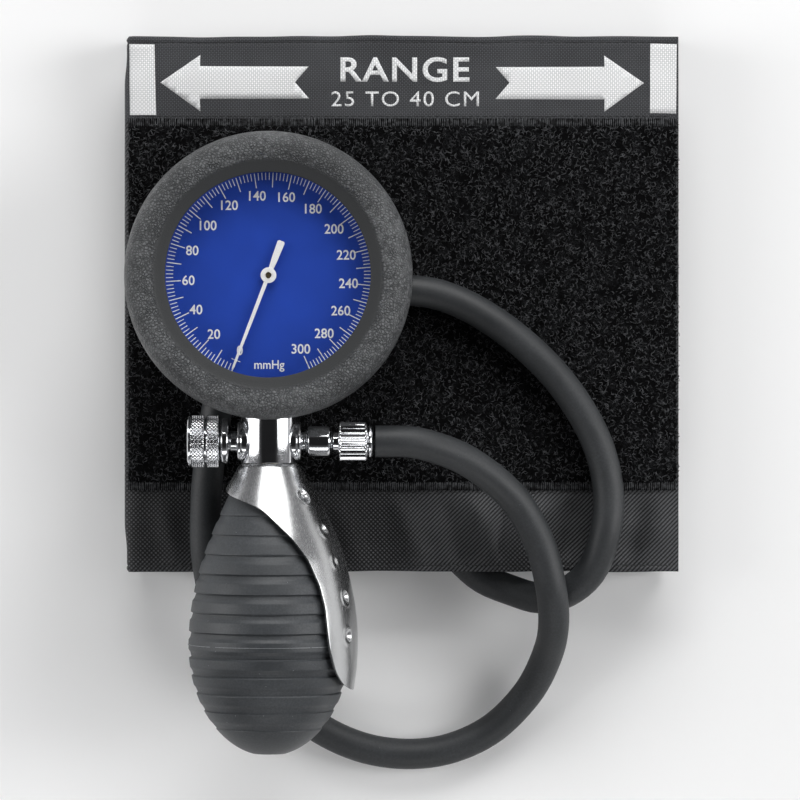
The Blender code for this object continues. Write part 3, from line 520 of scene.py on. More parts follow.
def fastener_pile(name, dark, pale):
    """Black loop pile: the crests of curled, tangled yarn are painted pale, as highlights catching the light
    over near-black hollows.
    """
    n = Nodes(name, dark, 0.8)
    n.set("Specular IOR Level", 0.06)
    curl = n.noise(1000, 2, 0.55, distortion=2.6)
    # Painted highlight: pale strokes along the curls' crests, where light would catch the yarn.
    strand_highlight = n.remap((curl - 0.5).math("ABSOLUTE"), 0.0, 0.09, 1.0, 0.0)
    tone = strand_highlight * n.remap(n.noise(420, 2, 0.6), 0.40, 0.60, 0.1, 1.0)
    return n.finish(n.ramp(tone, (0.2, dark), (0.95, pale)), None, n.bump(tone, 0.45))


def yarn(name, dark, pale):
    """Single loops of yarn, each a little lighter or darker than the next."""
    n = Nodes(name, pale, 0.6)
    n.set("Specular IOR Level", 0.2)
    shade = n.ramp(n.noise(900, 1), (0.36, dark), (0.66, pale))
    return n.finish(shade, None, n.bump(n.noise(6000, 1), 0.02))


def lacquer(name, colour):
    """Printed or enamelled metal: near-flat colour with a faint mottle and pinholes of dust."""
    n = Nodes(name, colour, 0.38)
    fine = n.noise(2500, 2)
    shade = n.ramp(n.noise(120, 3), (0.3, toned(colour, 0.93)), (0.7, toned(colour, 1.05)))
    return n.finish(shade, n.remap(fine, 0.3, 0.7, 0.33, 0.43), n.bump(fine, 0.004))


def clear_lens():
    """Clear acrylic with a polished face and the faintest wiping marks."""
    n = Nodes("lens_acrylic", (0.02, 0.025, 0.03), 0.03)
    n.set("Alpha", 0.045)
    n.set("IOR", 1.49)
    marks = n.noise(180, 4, 0.6, n.stretch(1, 6, 1))
    return n.finish(None, n.remap(marks, 0.35, 0.75, 0.02, 0.07))


def make_materials():
    """Every look by name. The CAD parts' looks are named after the record's material slots."""
    return {
        "rubber_bumper": bumper_rubber(),
        "bulb_rubber": moulded_rubber("bulb_rubber", (0.038, 0.042, 0.0465), 0.50, 0.55, 0.022, speck=0.09),
        "hose_rubber": moulded_rubber("hose_rubber", (0.0255, 0.028, 0.0305), 0.56, 0.6, 0.016, speck=0.05),
        "seal_rubber": moulded_rubber("seal_rubber", (0.02, 0.02, 0.021), 0.45, 0.4, 0.01),
        "flash": moulded_rubber("flash_rubber", (0.20, 0.21, 0.22), 0.5, 0.4, 0.02),
        "chrome": plated("chrome_plate", (0.80, 0.81, 0.83), 0.07),
        "knurled": plated("knurled_chrome", (0.72, 0.73, 0.75), 0.10),
        "spoon_steel": satin_steel("spoon_steel", (0.56, 0.565, 0.57), 0.24),
        "steel": satin_steel("case_steel", (0.55, 0.555, 0.56), 0.34),
        "brass": satin_steel("movement_brass", (0.62, 0.46, 0.22), 0.3),
        "nylon": twill("nylon_oxford", (0.0035, 0.0035, 0.004), (0.105, 0.108, 0.114), 0.86, 0.16),
        "band": woven("nylon_band", (0.016, 0.016, 0.018), (0.082, 0.085, 0.091), 0.50, 0.10),
        "ink": woven("white_cuff_ink", (0.50, 0.51, 0.52), (0.93, 0.93, 0.93), 0.57, 0.05, 0.6, 0.05),
        "thread": woven("black_thread", (0.008, 0.008, 0.009), (0.050, 0.051, 0.054), 0.22, 0.05),
        "pile": fastener_pile("loop_pile", (0.0012, 0.0012, 0.0014), (0.030, 0.031, 0.034)),
        "fibre": yarn("loop_fibre", (0.006, 0.006, 0.007), (0.115, 0.118, 0.125)),
        "ribs": yarn("selvedge_yarn", (0.012, 0.012, 0.013), (0.085, 0.088, 0.093)),
        "dial_blue": lacquer("dial_blue", (0.016, 0.062, 0.43)),
        "pointer_white": lacquer("dial_white", (0.94, 0.94, 0.94)),
        "lens_plastic": clear_lens(),
    }


# ---- hose
def make_hose(mats):
    points, length = smooth_route(HOSE_ROUTE, 2.2)
    curve = bpy.data.curves.new("rubber_hose", "CURVE")
    configure(curve, dimensions="3D", bevel_depth=HOSE_R * MM, bevel_resolution=7, use_fill_caps=True)
    spline = curve.splines.new("POLY")
    spline.points.add(len(points) - 1)
    for spot, place in zip(spline.points, points):
        spot.co = (*(place * MM), 1)
    hose = link("rubber_hose", curve, "root", mats["hose_rubber"])
    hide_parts("hose")


# ---- gauge
BUMPER_OUTLINE = (
    (27.3, 12.4), (27.3, 12.9), (29.6, 13.5), (31.5, 14.3), (33.5, 15.0), (35.6, 14.5), (37.2, 13.0),
    (38.1, 10.8), (38.5, 8.5), (38.5, -8.5), (37.9, -12.0), (36.2, -14.2), (33.5, -15.0),
    (26.0, -15.0), (26.0, -13.1), (32.5, -13.1), (32.5, 12.4),
)
NECK_HOLE_R = 8.0


def make_bumper(mats):
    outline = rounded(BUMPER_OUTLINE, 1.2, 4)
    bumper = lathe("bumper_cover", outline, 192, "root", mats["rubber_bumper"], GAUGE_UP)
    hole = [(0, 28.0), (NECK_HOLE_R, 28.0), (NECK_HOLE_R, 42.0), (0, 42.0)]
    boolean(bumper, lathe("neck_cutter", hole, 64, None, None, ALONG_BULB), "DIFFERENCE")
    crisp(bumper.data, 40)
    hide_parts("bumper")


DIAL_TOP, DIAL_PRINT = 5.9, 0.035
DIAL_ZERO, DIAL_RATE, DIAL_CURVE = 201.0, 1.1023, -0.000171
TICK_OUTER_R, TICK_INNER_R, LONG_TICK_INNER_R = 27.45, 25.5, 23.5
TICK_WIDTH, LONG_TICK_WIDTH = 0.22, 0.26
# The 100 stands a little further in than the other numbers, clear of the long ticks.
NUMBER_R, NUMBER_100_R = 21.45, 20.95


def dial_angle(pressure):
    """Degrees clockwise from the top of the dial for a pressure in mmHg."""
    return DIAL_ZERO + DIAL_RATE * pressure + DIAL_CURVE * pressure**2


def on_dial(radius, clockwise):
    turn = math.radians(90 - clockwise)
    return Vector((radius * math.cos(turn), radius * math.sin(turn)))


def flat_shape(outline, low, high):
    """Points and faces of an outline pushed out from low to high along Z."""
    count = len(outline)
    verts = [(x, y, z) for z in (low, high) for x, y in outline]
    faces = [list(range(count - 1, -1, -1)), list(range(count, 2 * count))]
    faces += [(i, (i + 1) % count, (i + 1) % count + count, i + count) for i in range(count)]
    return verts, faces


def gather(shapes):
    """One list of points and one of faces from several (points, faces)."""
    verts, faces = [], []
    for points, sides in shapes:
        start = len(verts)
        verts += points
        faces += [[i + start for i in side] for side in sides]
    return verts, faces


def text_mesh(text, size, weight, stretch, spacing, thickness=0.03):
    """Lettering centred on the origin as (points, faces), in millimetres."""
    curve = configure(bpy.data.curves.new("lettering", "FONT"), body=text, size=size, align_x="CENTER")
    configure(curve, offset=weight, space_character=spacing, extrude=thickness / 2, resolution_u=6)
    obj = link("lettering", curve, None)
    bpy.context.view_layer.update()
    mesh = bpy.data.meshes.new_from_object(obj)
    bpy.data.objects.remove(obj, do_unlink=True)
    points = np.array([v.co for v in mesh.vertices])
    middle = (points.min(axis=0) + points.max(axis=0)) / 2
    points = (points - middle) * (stretch, 1, 1)
    faces = [list(face.vertices) for face in mesh.polygons]
    return [tuple(point) for point in points.tolist()], faces


def moved(shape, x, y, z=0.0):
    points, faces = shape
    return [(px + x, py + y, pz + z) for px, py, pz in points], faces


def make_dial(mats):
    shapes = []
    low, high = DIAL_TOP, DIAL_TOP + DIAL_PRINT
    for pressure in range(0, 301, 2):
        long_one = pressure % 10 == 0
        inner = LONG_TICK_INNER_R if long_one else TICK_INNER_R
        width = LONG_TICK_WIDTH if long_one else TICK_WIDTH
        along = on_dial(1, dial_angle(pressure))
        across = Vector((-along.y, along.x)) * width / 2
        ends = (along * inner - across, along * TICK_OUTER_R - across)
        ends += (along * TICK_OUTER_R + across, along * inner + across)
        shapes.append(flat_shape(ends, low, high))
    for pressure in range(0, 301, 20):
        place = on_dial(NUMBER_100_R if pressure == 100 else NUMBER_R, dial_angle(pressure))
        number = text_mesh(str(pressure), 3.6, 0.05, 0.95, 1.02)
        shapes.append(moved(number, *place, (low + high) / 2))
    unit = text_mesh("mmHg", 3.3, 0.04, 0.92, 1.0)
    shapes.append(moved(unit, 0.2, -24.2, (low + high) / 2))
    # the short bar across the zero mark
    middle, reach, rise = on_dial(24.3, DIAL_ZERO), on_dial(1.25, DIAL_ZERO + 90), Vector((0, 0.1))
    bar = [middle + reach - rise, middle + reach + rise, middle - reach + rise, middle - reach - rise]
    shapes.append(flat_shape(bar, low, high))
    printing = outward(mesh_from("dial_scale", *gather(shapes), "root", mats["pointer_white"], GAUGE_UP))
    printing.data.shade_flat()


POINTER_LOW, POINTER_HIGH = 6.9, 7.5


def make_pointer(mats):
    """White pointer: a hub washer, a long tapering blade and a broad counterweight tail."""
    hub_r, bore_r = 2.1, 0.8
    along, side = on_dial(1, DIAL_ZERO), on_dial(1, DIAL_ZERO + 90)

    def leaf(stations):
        left = [along * reach + side * half for reach, half in stations]
        right = [along * reach - side * half for reach, half in reversed(stations)]
        return flat_shape(left + right, POINTER_LOW, POINTER_HIGH)

    low, high = POINTER_LOW - 0.05, POINTER_HIGH + 0.12
    hub = rounded([(bore_r, low), (hub_r, low), (hub_r, high), (bore_r, high)], 0.15)
    pieces = [lathe("pointer_hub", hub, 64, None, mats["pointer_white"], GAUGE_UP)]
    blade = [(1.2, 0.52), (14, 0.46), (26.2, 0.32), (27.0, 0.2)]
    tail = [(-1.2, 0.62), (-4.5, 0.86), (-9.4, 1.02), (-9.8, 0.7)]
    for stations in (blade, tail):
        pieces.append(mesh_from("leaf", *leaf(stations), None, None, GAUGE_UP, 30))
    for piece in pieces[1:]:
        modify(outward(piece), "BEVEL", width=0.08 * MM, segments=2)
    pointer = join(pieces)
    pointer.name = "white_pointer"
    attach(pointer, "pointer_arbor")
    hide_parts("pointer")


def make_lens(mats):
    outline = rounded([(0, 9.3), (31.0, 9.3), (31.0, 11.2), (0, 11.2)], 0.3)
    lens = lathe("clear_lens", outline, 160, "root", mats["lens_plastic"], GAUGE_UP)
    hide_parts("lens")


# ---- valve body, knob and hose connector
def make_manifold(mats):
    barrel = rounded([(0, 33.5), (7.65, 33.5), (7.65, 50.18), (0, 50.18)], 0.12, 3)
    body = lathe("valve_body", barrel, 128, "root", mats["chrome"], ALONG_BULB)
    boss = [(0, 0), (5.0, 0), (5.0, 7.2), (5.3, 7.8), (5.2, 8.4)]
    boss += [(4.5, 8.7), (3.4, 8.5), (3.2, 7.6), (0, 7.6)]
    for matrix in (TO_KNOB, TO_HOSE):
        boolean(body, lathe("boss", rounded(boss, 0.35), 96, None, None, matrix), "UNION")
    crisp(body.data, 35)
    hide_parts("manifold")


KNOB_R = 7.0
KNURL_BANDS = ((13.5, 16.7), (17.35, 20.9))
KNURL_TURNS, KNURL_LEAN, KNURL_DEPTH = 36, 3.1, 0.46


def knurl(radius, height, angle):
    """Diamond knurling on the knob's two bands."""
    for low, high in KNURL_BANDS:
        if low <= height <= high:
            edge = min(1, (height - low) / 0.25, (high - height) / 0.25)
            first = abs(math.sin(KNURL_TURNS * angle / 2 + KNURL_LEAN * height))
            second = abs(math.sin(KNURL_TURNS * angle / 2 - KNURL_LEAN * height))
            return radius - KNURL_DEPTH * edge * (1 - min(first, second)) ** 1.5
    return radius


def knob_outline():
    def band(low, high):
        heights = np.linspace(low, high, round((high - low) / 0.10) + 1)
        return [(KNOB_R, height) for height in heights.tolist()]

    end = [(6.65, 21.0), (6.65, 21.15), (6.95, 21.3), (6.95, 21.55), (6.6, 21.8), (5.2, 21.8)]
    end += [(4.8, 21.6), (0, 21.6), (0, 20.7), (1.8, 20.7)]
    low_band, high_band = KNURL_BANDS
    return [
        (1.8, 13.2), (6.2, 13.2), (6.6, 13.35), *band(*low_band), (6.5, 16.85), (6.3, 16.95),
        (6.3, 17.1), (6.5, 17.2), *band(*high_band), *end,
    ]


FLUTE_LOW, FLUTE_TOP, FLUTE_COUNT, FLUTE_DEPTH = 18.9, 26.1, 24, 0.42


def flutes(radius, height, angle):
    """Rounded flutes along the union nut."""
    if radius < 4.85 or not FLUTE_LOW < height < FLUTE_TOP:
        return radius
    fade = min(1, (height - FLUTE_LOW) / 0.25, (FLUTE_TOP - height) / 0.25)
    return radius - FLUTE_DEPTH * fade * (0.5 + 0.5 * math.cos(FLUTE_COUNT * angle)) ** 0.6


def make_fittings(mats):
    bush = [(2.2, 8.5), (2.8, 8.5), (2.8, 10.4), (4.6, 10.7), (5.7, 10.8), (6.2, 11.2)]
    bush += [(6.2, 12.5), (5.8, 12.9), (2.2, 12.9)]
    port = [(1.3, 8.3), (2.5, 8.3), (2.5, 9.7), (3.1, 9.8), (3.3, 10.2), (3.9, 10.4), (4.1, 10.8)]
    port += [(4.1, 15.8), (3.9, 16.3), (3.2, 16.6), (2.9, 16.9), (2.5, 17.2), (2.5, 28.0), (1.3, 28.0)]
    grip = [(5.15, FLUTE_LOW + 0.1 + 0.25 * i) for i in range(29)]
    nut = [(2.8, 18.6), (4.6, 18.6), (5.0, 18.85), *grip, (5.0, 26.15), (4.6, 26.4), (2.8, 26.4)]
    ring = [(2.8, 26.7), (4.5, 26.7), (4.5, 27.3), (3.8, 28.0), (2.8, 28.0)]
    chrome, knurled, knob = mats["chrome"], mats["knurled"], knob_outline()
    for solid, *shape in (
        ("valve_bush", "valve_collar", rounded(bush, 0.25), 96, "root", chrome, TO_KNOB),
        ("valve_knob", "release_valve_knob", knob, 336, "release_knob", knurled, TO_KNOB, knurl, 30),
        ("hose_port", "hose_connector", rounded(port, 0.2), 96, "root", chrome, TO_HOSE),
        ("hose_nut", "fluted_union_nut", nut, 288, "union_nut", chrome, TO_HOSE, flutes, 30),
        ("hose_collar", "hose_end_collar", rounded(ring, 0.25), 96, "root", chrome, TO_HOSE),
    ):
        fitting = lathe(*shape)
        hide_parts(solid)


# ---- bulb and finger spoon
SEAM_D, BULB_R, TAIL_LENGTH = 98.8, 21.7, 30.0
NECK_D, NECK_BORE_R, TAIL_BORE_R = 53.5, 5.3, 4.5
BULB_BEND, BULB_WALL = 0.0262, 2.2
RIB_DEPTH, RIB_WIDTH = 0.66, 2.3
# The grooves above and below the seam: distance of the first from the gauge's centre, pitch, and count.
UPPER_GROOVES, LOWER_GROOVES = (64.0, 5.2, 7), (100.0, 4.78, 5)


def bulb_radius(d):
    """Outer radius of the plain bulb at distance d below the gauge's centre."""
    if d < SEAM_D:
        return BULB_R * math.cos(BULB_BEND * (SEAM_D - d))
    return BULB_R * math.sqrt(max(0.0, 1 - ((d - SEAM_D) / TAIL_LENGTH) ** 2))


def groove_shape(t):
    """Section of one groove, 0 to 1 across: a steep side, a sloping floor and a crisp far edge."""
    if t < 0.16:
        return math.sin(t / 0.16 * math.pi / 2)
    if t < 0.66:
        return 1 - 0.30 * (t - 0.16) / 0.50
    return 0.70 * (1 - t) / 0.34


def rib_groove(d):
    """Depth of the moulded grooves, whose steep sides face away from the bulb's middle seam."""
    for first, pitch, count in (UPPER_GROOVES, LOWER_GROOVES):
        for k in range(count):
            t = (d - first - pitch * k) / RIB_WIDTH
            if 0 <= t <= 1 and d < SEAM_D:
                return RIB_DEPTH * min(1.0, 0.6 + 0.1 * k) * groove_shape(t)
            if 0 <= t <= 1:
                return RIB_DEPTH * (1.0 - 0.12 * k) * groove_shape(1 - t)
    return 0.0


def make_bulb(mats):
    def wall(start, end, step):
        return np.linspace(start, end, round(abs(end - start) / step) + 1).tolist()

    end_d = SEAM_D + TAIL_LENGTH * math.sqrt(1 - (TAIL_BORE_R / BULB_R) ** 2)
    outer = [(bulb_radius(d) - rib_groove(d), d) for d in wall(NECK_D + 0.5, end_d - 0.3, detail(0.22, 0.5))]
    inner = [(bulb_radius(d) - BULB_WALL, d) for d in wall(end_d - 3.6, 66.5, 2.0)]
    lip = [(NECK_BORE_R, NECK_D), (outer[0][0] - 0.5, NECK_D)]
    tail = [(TAIL_BORE_R, end_d), (TAIL_BORE_R, end_d - 3.4)]
    outline = lip + outer + tail + inner + [(NECK_BORE_R, 65.6)]

    def uneven(radius, height, angle):
        return radius + 0.10 * noise.noise(Vector((math.cos(angle), math.sin(angle), height / 30)) * 1.6)

    bulb = lathe("ribbed_bulb", outline, 144, "root", mats["bulb_rubber"], ALONG_BULB, uneven, 50)
    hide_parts("bulb")

    def ragged(radius, height, angle):
        broad = noise.noise(Vector((math.cos(angle) * 3, math.sin(angle) * 3, 0.7)))
        fine = noise.noise(Vector((math.cos(angle) * 14, math.sin(angle) * 14, 2.1)))
        return radius + (0.16 * broad + 0.10 * fine if radius > BULB_R - 0.1 else 0)

    flash = [(BULB_R - 0.4, SEAM_D - 0.05), (BULB_R + 0.06, SEAM_D - 0.09)]
    flash += [(BULB_R + 0.06, SEAM_D + 0.05), (BULB_R - 0.4, SEAM_D + 0.05)]
    seam = lathe("mould_flash", flash, 360, "root", mats["flash"], ALONG_BULB, ragged)


# Each row of the spoon: distance below the gauge's centre, radius, and half of the angle that it wraps.
SPOON_ROWS = (
    (50.25, 3.7, 180), (50.25, 7.2, 180), (50.9, 8.3, 180), (53.6, 9.7, 180), (56.8, 11.6, 180),
    (57.4, 12.0, 165), (58.2, 12.5, 149), (59.0, 12.9, 134), (59.8, 13.4, 119), (60.6, 13.8, 107),
    (62.5, 14.8, 94), (64.8, 15.9, 85), (69.6, 18.2, 69), (74.8, 20.1, 58), (82.0, 21.9, 50.5),
    (88.2, 23.1, 47.8), (94.1, 23.7, 47.2), (99.5, 23.8, 45.4), (105.3, 23.5, 39.6), (109.3, 22.9, 28),
    (110.8, 22.7, 8),
)
# Distance below the gauge's centre and sideways reach of the dimples, which repeat on the underside.
DIMPLES = ((58.8, 9.6), (67.6, 15.6), (76.0, 19.1), (85.8, 21.1), (96.1, 21.4))
SPOON_THICKNESS, EASE_REACH = 0.8, 2.2


def spoon_table(step):
    """Rows of (distance, radius, half angle) along the spoon, with the steps between the given rows eased."""
    rows = [np.array(column, float) for column in zip(*SPOON_ROWS[2:])]
    places = np.linspace(rows[0][0], rows[0][-1], round((rows[0][-1] - rows[0][0]) / step) + 1)
    offsets = np.arange(-2 * EASE_REACH, 2 * EASE_REACH + step, step)
    weights = np.exp(-2 * (offsets / EASE_REACH) ** 2)
    weights /= weights.sum()

    def eased(values):
        dense = np.interp(places, rows[0], values)
        slope_low, slope_high = dense[1] - dense[0], dense[-1] - dense[-2]
        pad = len(weights) // 2
        before = dense[0] - slope_low * np.arange(pad, 0, -1)
        after = dense[-1] + slope_high * np.arange(1, len(weights) - pad)
        return np.convolve(np.concatenate([before, dense, after]), weights, "valid")

    radii, halves = eased(rows[1]), eased(rows[2])
    halves = np.where(places < 56.6, 180.0, np.clip(halves, 6.0, 176.0))
    return list(SPOON_ROWS[:2]) + list(zip(places.tolist(), radii.tolist(), halves.tolist()))


def dimple_push(point):
    push = 0.0
    for d, reach in DIMPLES:
        radius = next(r for row, r, _ in SPOON_ROWS if row >= d)
        height = math.sqrt(max(0.0, radius**2 - reach**2))
        for side in (1, -1):
            apart = (point - Vector((reach, side * height, d))).length
            if apart < 5:
                push += 0.80 * math.exp(-((apart / 1.45) ** 4))
                push -= 0.16 * math.exp(-(((apart - 2.15) / 0.42) ** 2))
    return push


def make_spoon(mats):
    columns = detail(150, 60)
    table = spoon_table(detail(0.42, 1.0))
    rows = len(table)
    verts, faces = [], []
    for d, radius, half in table:
        for k in range(columns + 1):
            angle = math.radians(half * (2 * k / columns - 1))
            point = Vector((radius * math.cos(angle), radius * math.sin(angle), d))
            if radius > 9:
                inward = Vector((-math.cos(angle), -math.sin(angle), 0))
                point += inward * dimple_push(point)
            verts.append(point)
    for i in range(rows - 1):
        for k in range(columns):
            a = i * (columns + 1) + k
            faces.append((a, a + 1, a + columns + 2, a + columns + 1))
    spoon = mesh_from("pressed_spoon", verts, faces, "finger_spoon", mats["spoon_steel"], ALONG_BULB)
    outward(spoon)
    inside = ALONG_BULB @ Vector((0, 0, 85)) * MM
    probe = max(spoon.data.polygons, key=lambda face: face.center.x)
    if probe.normal.dot(probe.center - inside) < 0:
        spoon.data.flip_normals()
    modify(spoon, "SOLIDIFY", thickness=SPOON_THICKNESS * MM, offset=-1)
    bend = math.radians(55)
    modify(spoon, "BEVEL", width=0.22 * MM, segments=2, limit_method="ANGLE", angle_limit=bend)
    crisp(spoon.data, 50)
    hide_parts("spoon")


# ---- cuff
CUFF_HALF_WIDTH = 73.5
CUFF_HALF_THICKNESS = 1.55
BLADDER_EDGE = 60.0
HEM = 71.8
TAIL_Z, BOTTOM_Z, RISEN_Z, TOP_Z = 5.15, 1.55, 13.9, 17.5
FOLD_R = 1.8
TOP_END_X = 75.75
TOP_FOLD_X = -73.2
PILE_LOW_Y, PILE_HIGH_Y = -51.1, 50.8
# Soft creases across the lower band: place at its upper edge, place at its hem, height and width.
CREASES = (
    (-66, -62, 1.05, 3.0), (-20, -12, 1.47, 4.0), (-3, 5, 2.0, 3.0), (11, 16, -1.89, 2.4),
    (19, 24, 2.73, 2.6), (29, 25.5, -2.31, 1.9), (38, 33, 2.52, 3.6), (47, 45, -1.68, 2.8),
    (56, 51, 2.0, 3.2), (66, 62, -1.68, 3.0),
)


def smoothstep(low, high, value):
    t = min(1.0, max(0.0, (value - low) / (high - low)))
    return t * t * (3 - 2 * t)


def arc_points(x, z, radius, start, end):
    turns = np.radians(np.linspace(start, end, 15))
    return [(x + radius * math.cos(turn), z + radius * math.sin(turn)) for turn in turns]


def leftward(headings):
    return np.stack([-headings[:, 1], headings[:, 0]], axis=1)


def cuff_line(step):
    """Evenly spaced points and outward normals along the folded cuff's middle, in XZ, and its length."""
    line = [(-36, TAIL_Z)]
    line += arc_points(-71.5, TAIL_Z - FOLD_R, FOLD_R, 90, 270)
    line += arc_points(71, BOTTOM_Z + FOLD_R, FOLD_R, -90, 90)
    line += [(-8 - 2 * i, TAIL_Z + (RISEN_Z - TAIL_Z) * smoothstep(0, 28, i)) for i in range(29)]
    line += arc_points(TOP_FOLD_X, RISEN_Z + FOLD_R, FOLD_R, -90, -270)
    line += [(TOP_END_X, TOP_Z)]
    places, length = evenly_spaced(line, step)
    heading = np.gradient(places, axis=0)
    heading /= np.linalg.norm(heading, axis=1)[:, None]
    return places, leftward(heading), length


def cuff_half_thickness(y, to_end):
    """Half of the padded thickness: full over the bladder, thin at the sewn hems and at the cut ends."""
    y = abs(y)
    half = CUFF_HALF_THICKNESS - 0.62 * smoothstep(BLADDER_EDGE, BLADDER_EDGE + 8, y)
    half += 0.10 * smoothstep(HEM, HEM + 0.5, y)
    half -= 0.22 * math.exp(-(((y - HEM) / 0.3) ** 2))
    half -= 0.55 * smoothstep(CUFF_HALF_WIDTH - 0.8, CUFF_HALF_WIDTH, y)
    return half - 0.75 * (1 - smoothstep(0, 7, to_end)) * (half / CUFF_HALF_THICKNESS)


def wrinkle(x, y):
    """How far the top layer's face stands above its flat shape."""
    away = smoothstep(51, 55, abs(y))
    place = Vector((x / 21, y / 17, 3.3))
    height = away * 0.55 * noise.noise(place) + 0.16 * away * noise.noise(place * 3.1)
    if y < PILE_LOW_Y:
        along = (PILE_LOW_Y - y) / (PILE_LOW_Y + HEM)
        fade = smoothstep(0, 0.35, along) * (1 - 0.75 * smoothstep(0.75, 1.05, along))
        for start, end, high, width in CREASES:
            middle = start + (end - start) * along
            height += fade * high * math.exp(-(((x - middle) / width) ** 2))
    return height


def top_face(x, y):
    """Height of the top layer's upper face, which curves down round the fold at its left end."""
    thick = cuff_half_thickness(y, TOP_END_X - x) + wrinkle(x, y)
    past = min(0.0, x - TOP_FOLD_X)
    return RISEN_Z + FOLD_R + math.sqrt(max(0.0, (FOLD_R + thick) ** 2 - past**2))


def make_cuff(mats):
    places, normals, length = cuff_line(detail(1.3, 3.0))
    rim = [71.2, 71.5, 71.8, 72.1, 72.5, 73.0, 73.3, CUFF_HALF_WIDTH]
    middle = np.linspace(-70.6, 70.6, detail(110, 50)).tolist()
    stations = [-y for y in reversed(rim)] + middle + rim
    top_start = int(np.argmax(places[:, 1] > TOP_Z - 0.2))
    last = len(places) - 1
    layers = [], []
    for i, (place, normal) in enumerate(zip(places, normals)):
        to_end = min(i, last - i) * length / last
        settled = smoothstep(0, 12, top_start - i)
        for layer, side in zip(layers, (1, -1)):
            row = []
            for y in stations:
                if i >= top_start:
                    lift = wrinkle(place[0], y)
                else:
                    lift = 0.175 * noise.noise(Vector((i / 20, y / 18, 7.7))) * settled
                at = place + normal * (side * cuff_half_thickness(y, to_end) + lift)
                edge = 0.45 * noise.noise(Vector((place[0] / 16, i / 60, 5.1 if y > 0 else 9.2)))
                row.append((at[0], y + smoothstep(62, CUFF_HALF_WIDTH, abs(y)) * edge, at[1]))
            layer.append(row)
    cuff = outward(mesh_from("cuff_cloth", *slab(*layers), "root", mats["nylon"]))
    cuff.data.materials.append(mats["band"])
    for face in cuff.data.polygons:
        centre = face.center / MM
        face.material_index = int(centre.y > PILE_HIGH_Y - 1 and centre.z > RISEN_Z)
    crisp(cuff.data, 60)
    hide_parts("cuff_outer_fabric", "cuff_inner_fabric", "bladder")
    return cuff, length


# ---- print on the top band
PRINT_LIFT, PRINT_THICKNESS, PRINT_CELL = 0.05, 0.07, 2.0


def lay_on_top(name, shape, material):
    """Lays a flat (points, faces) shape over the top layer, cut into cells so that it follows the cloth."""
    verts, faces = shape
    mesh = bpy.data.meshes.new(name)
    mesh.from_pydata([(x, y, 0) for x, y, *_ in verts], [], faces)
    bm = bmesh.new()
    bm.from_mesh(mesh)
    bmesh.ops.remove_doubles(bm, verts=bm.verts[:], dist=1e-4)
    for axis, normal in enumerate(((1, 0, 0), (0, 1, 0))):
        reach = [vert.co[axis] for vert in bm.verts]
        for cell in range(math.ceil(min(reach) / PRINT_CELL), math.ceil(max(reach) / PRINT_CELL)):
            cut = (cell * PRINT_CELL, cell * PRINT_CELL, 0)
            parts = bm.verts[:] + bm.edges[:] + bm.faces[:]
            bmesh.ops.bisect_plane(bm, geom=parts, dist=1e-4, plane_co=cut, plane_no=normal)
    for face in bm.faces:
        if face.normal.z < 0:
            face.normal_flip()
    for vert in bm.verts:
        vert.co.z = top_face(vert.co.x, vert.co.y) + PRINT_LIFT
    bm.to_mesh(mesh)
    bm.free()
    mesh.transform(Matrix.Diagonal((MM, MM, MM, 1)))
    mesh.shade_smooth()
    ink = link(name, mesh, "root", material)
    return modify(ink, "SOLIDIFY", thickness=PRINT_THICKNESS * MM, offset=-1)


def make_print(mats):
    arrow = [
        (-66.4, 60.7), (-55.5, 52.8), (-55.6, 56.2), (-25.7, 56.3),
        (-29.5, 60.8), (-25.8, 65.1), (-55.6, 65.2), (-55.5, 68.3),
    ]
    outlines = {
        "left_bar": [(-74.8, 51.75), (-67.6, 51.75), (-68.1, 71.2), (-75.0, 71.3)],
        "right_bar": [(67.85, 52.3), (75.1, 52.2), (75.3, 71.3), (68.0, 71.4)],
        "left_arrow": arrow,
        "right_arrow": [(-x - 0.2, y - 0.15) for x, y in reversed(arrow)],
    }
    shapes = {name: (outline, [list(range(len(outline)))]) for name, outline in outlines.items()}
    shapes["range_title"] = moved(text_mesh("RANGE", 9.3, 0.18, 1.10, 1.12, 0), 0.65, 64.3)
    shapes["range_limits"] = moved(text_mesh("25 TO 40 CM", 5.9, 0.0, 1.10, 1.12, 0), 0.7, 56.2)
    prints = [lay_on_top(name, shape, mats["ink"]) for name, shape in shapes.items()]
    return prints


# ---- sewing
STITCH_SIDES, STITCH_RINGS = 5, 5
SEAM_REACH = (-73, 74.5)


def stitch_shape(start, end, radius, high):
    """One stitch: a rounded thread that dips into the cloth at both ends."""
    along = end - start
    across = Vector((-along.y, along.x, 0)).normalized()
    verts = []
    for i in range(STITCH_RINGS):
        t = i / (STITCH_RINGS - 1)
        bow = math.sin(math.pi * t)
        fat = radius * (0.55 + 0.45 * bow)
        for k in range(STITCH_SIDES):
            turn = 2 * math.pi * k / STITCH_SIDES
            offset = across * (fat * math.cos(turn)) + Vector((0, 0, high * bow + fat * math.sin(turn)))
            verts.append(tuple(start + along * t + offset))
    ends = [tuple(reversed(range(STITCH_SIDES))), tuple(range(len(verts) - STITCH_SIDES, len(verts)))]
    return verts, tube_faces(STITCH_RINGS, STITCH_SIDES) + ends


def seam_along(y, pitch, length, radius):
    """A row of stitches over the top layer's face, from its fold to its cut end."""
    start_x, end_x = SEAM_REACH
    shapes = []
    for i in range(int((end_x - start_x) / pitch)):
        jitter = rng.uniform(-0.12, 0.12, 3)
        start = Vector((start_x + i * pitch + jitter[0], y + jitter[2] * 0.6, 0))
        end = start + Vector((length + jitter[1], 0, 0))
        for point in (start, end):
            point.z = top_face(point.x, point.y)
        shapes.append(stitch_shape(start, end, radius, 0.12))
    return shapes


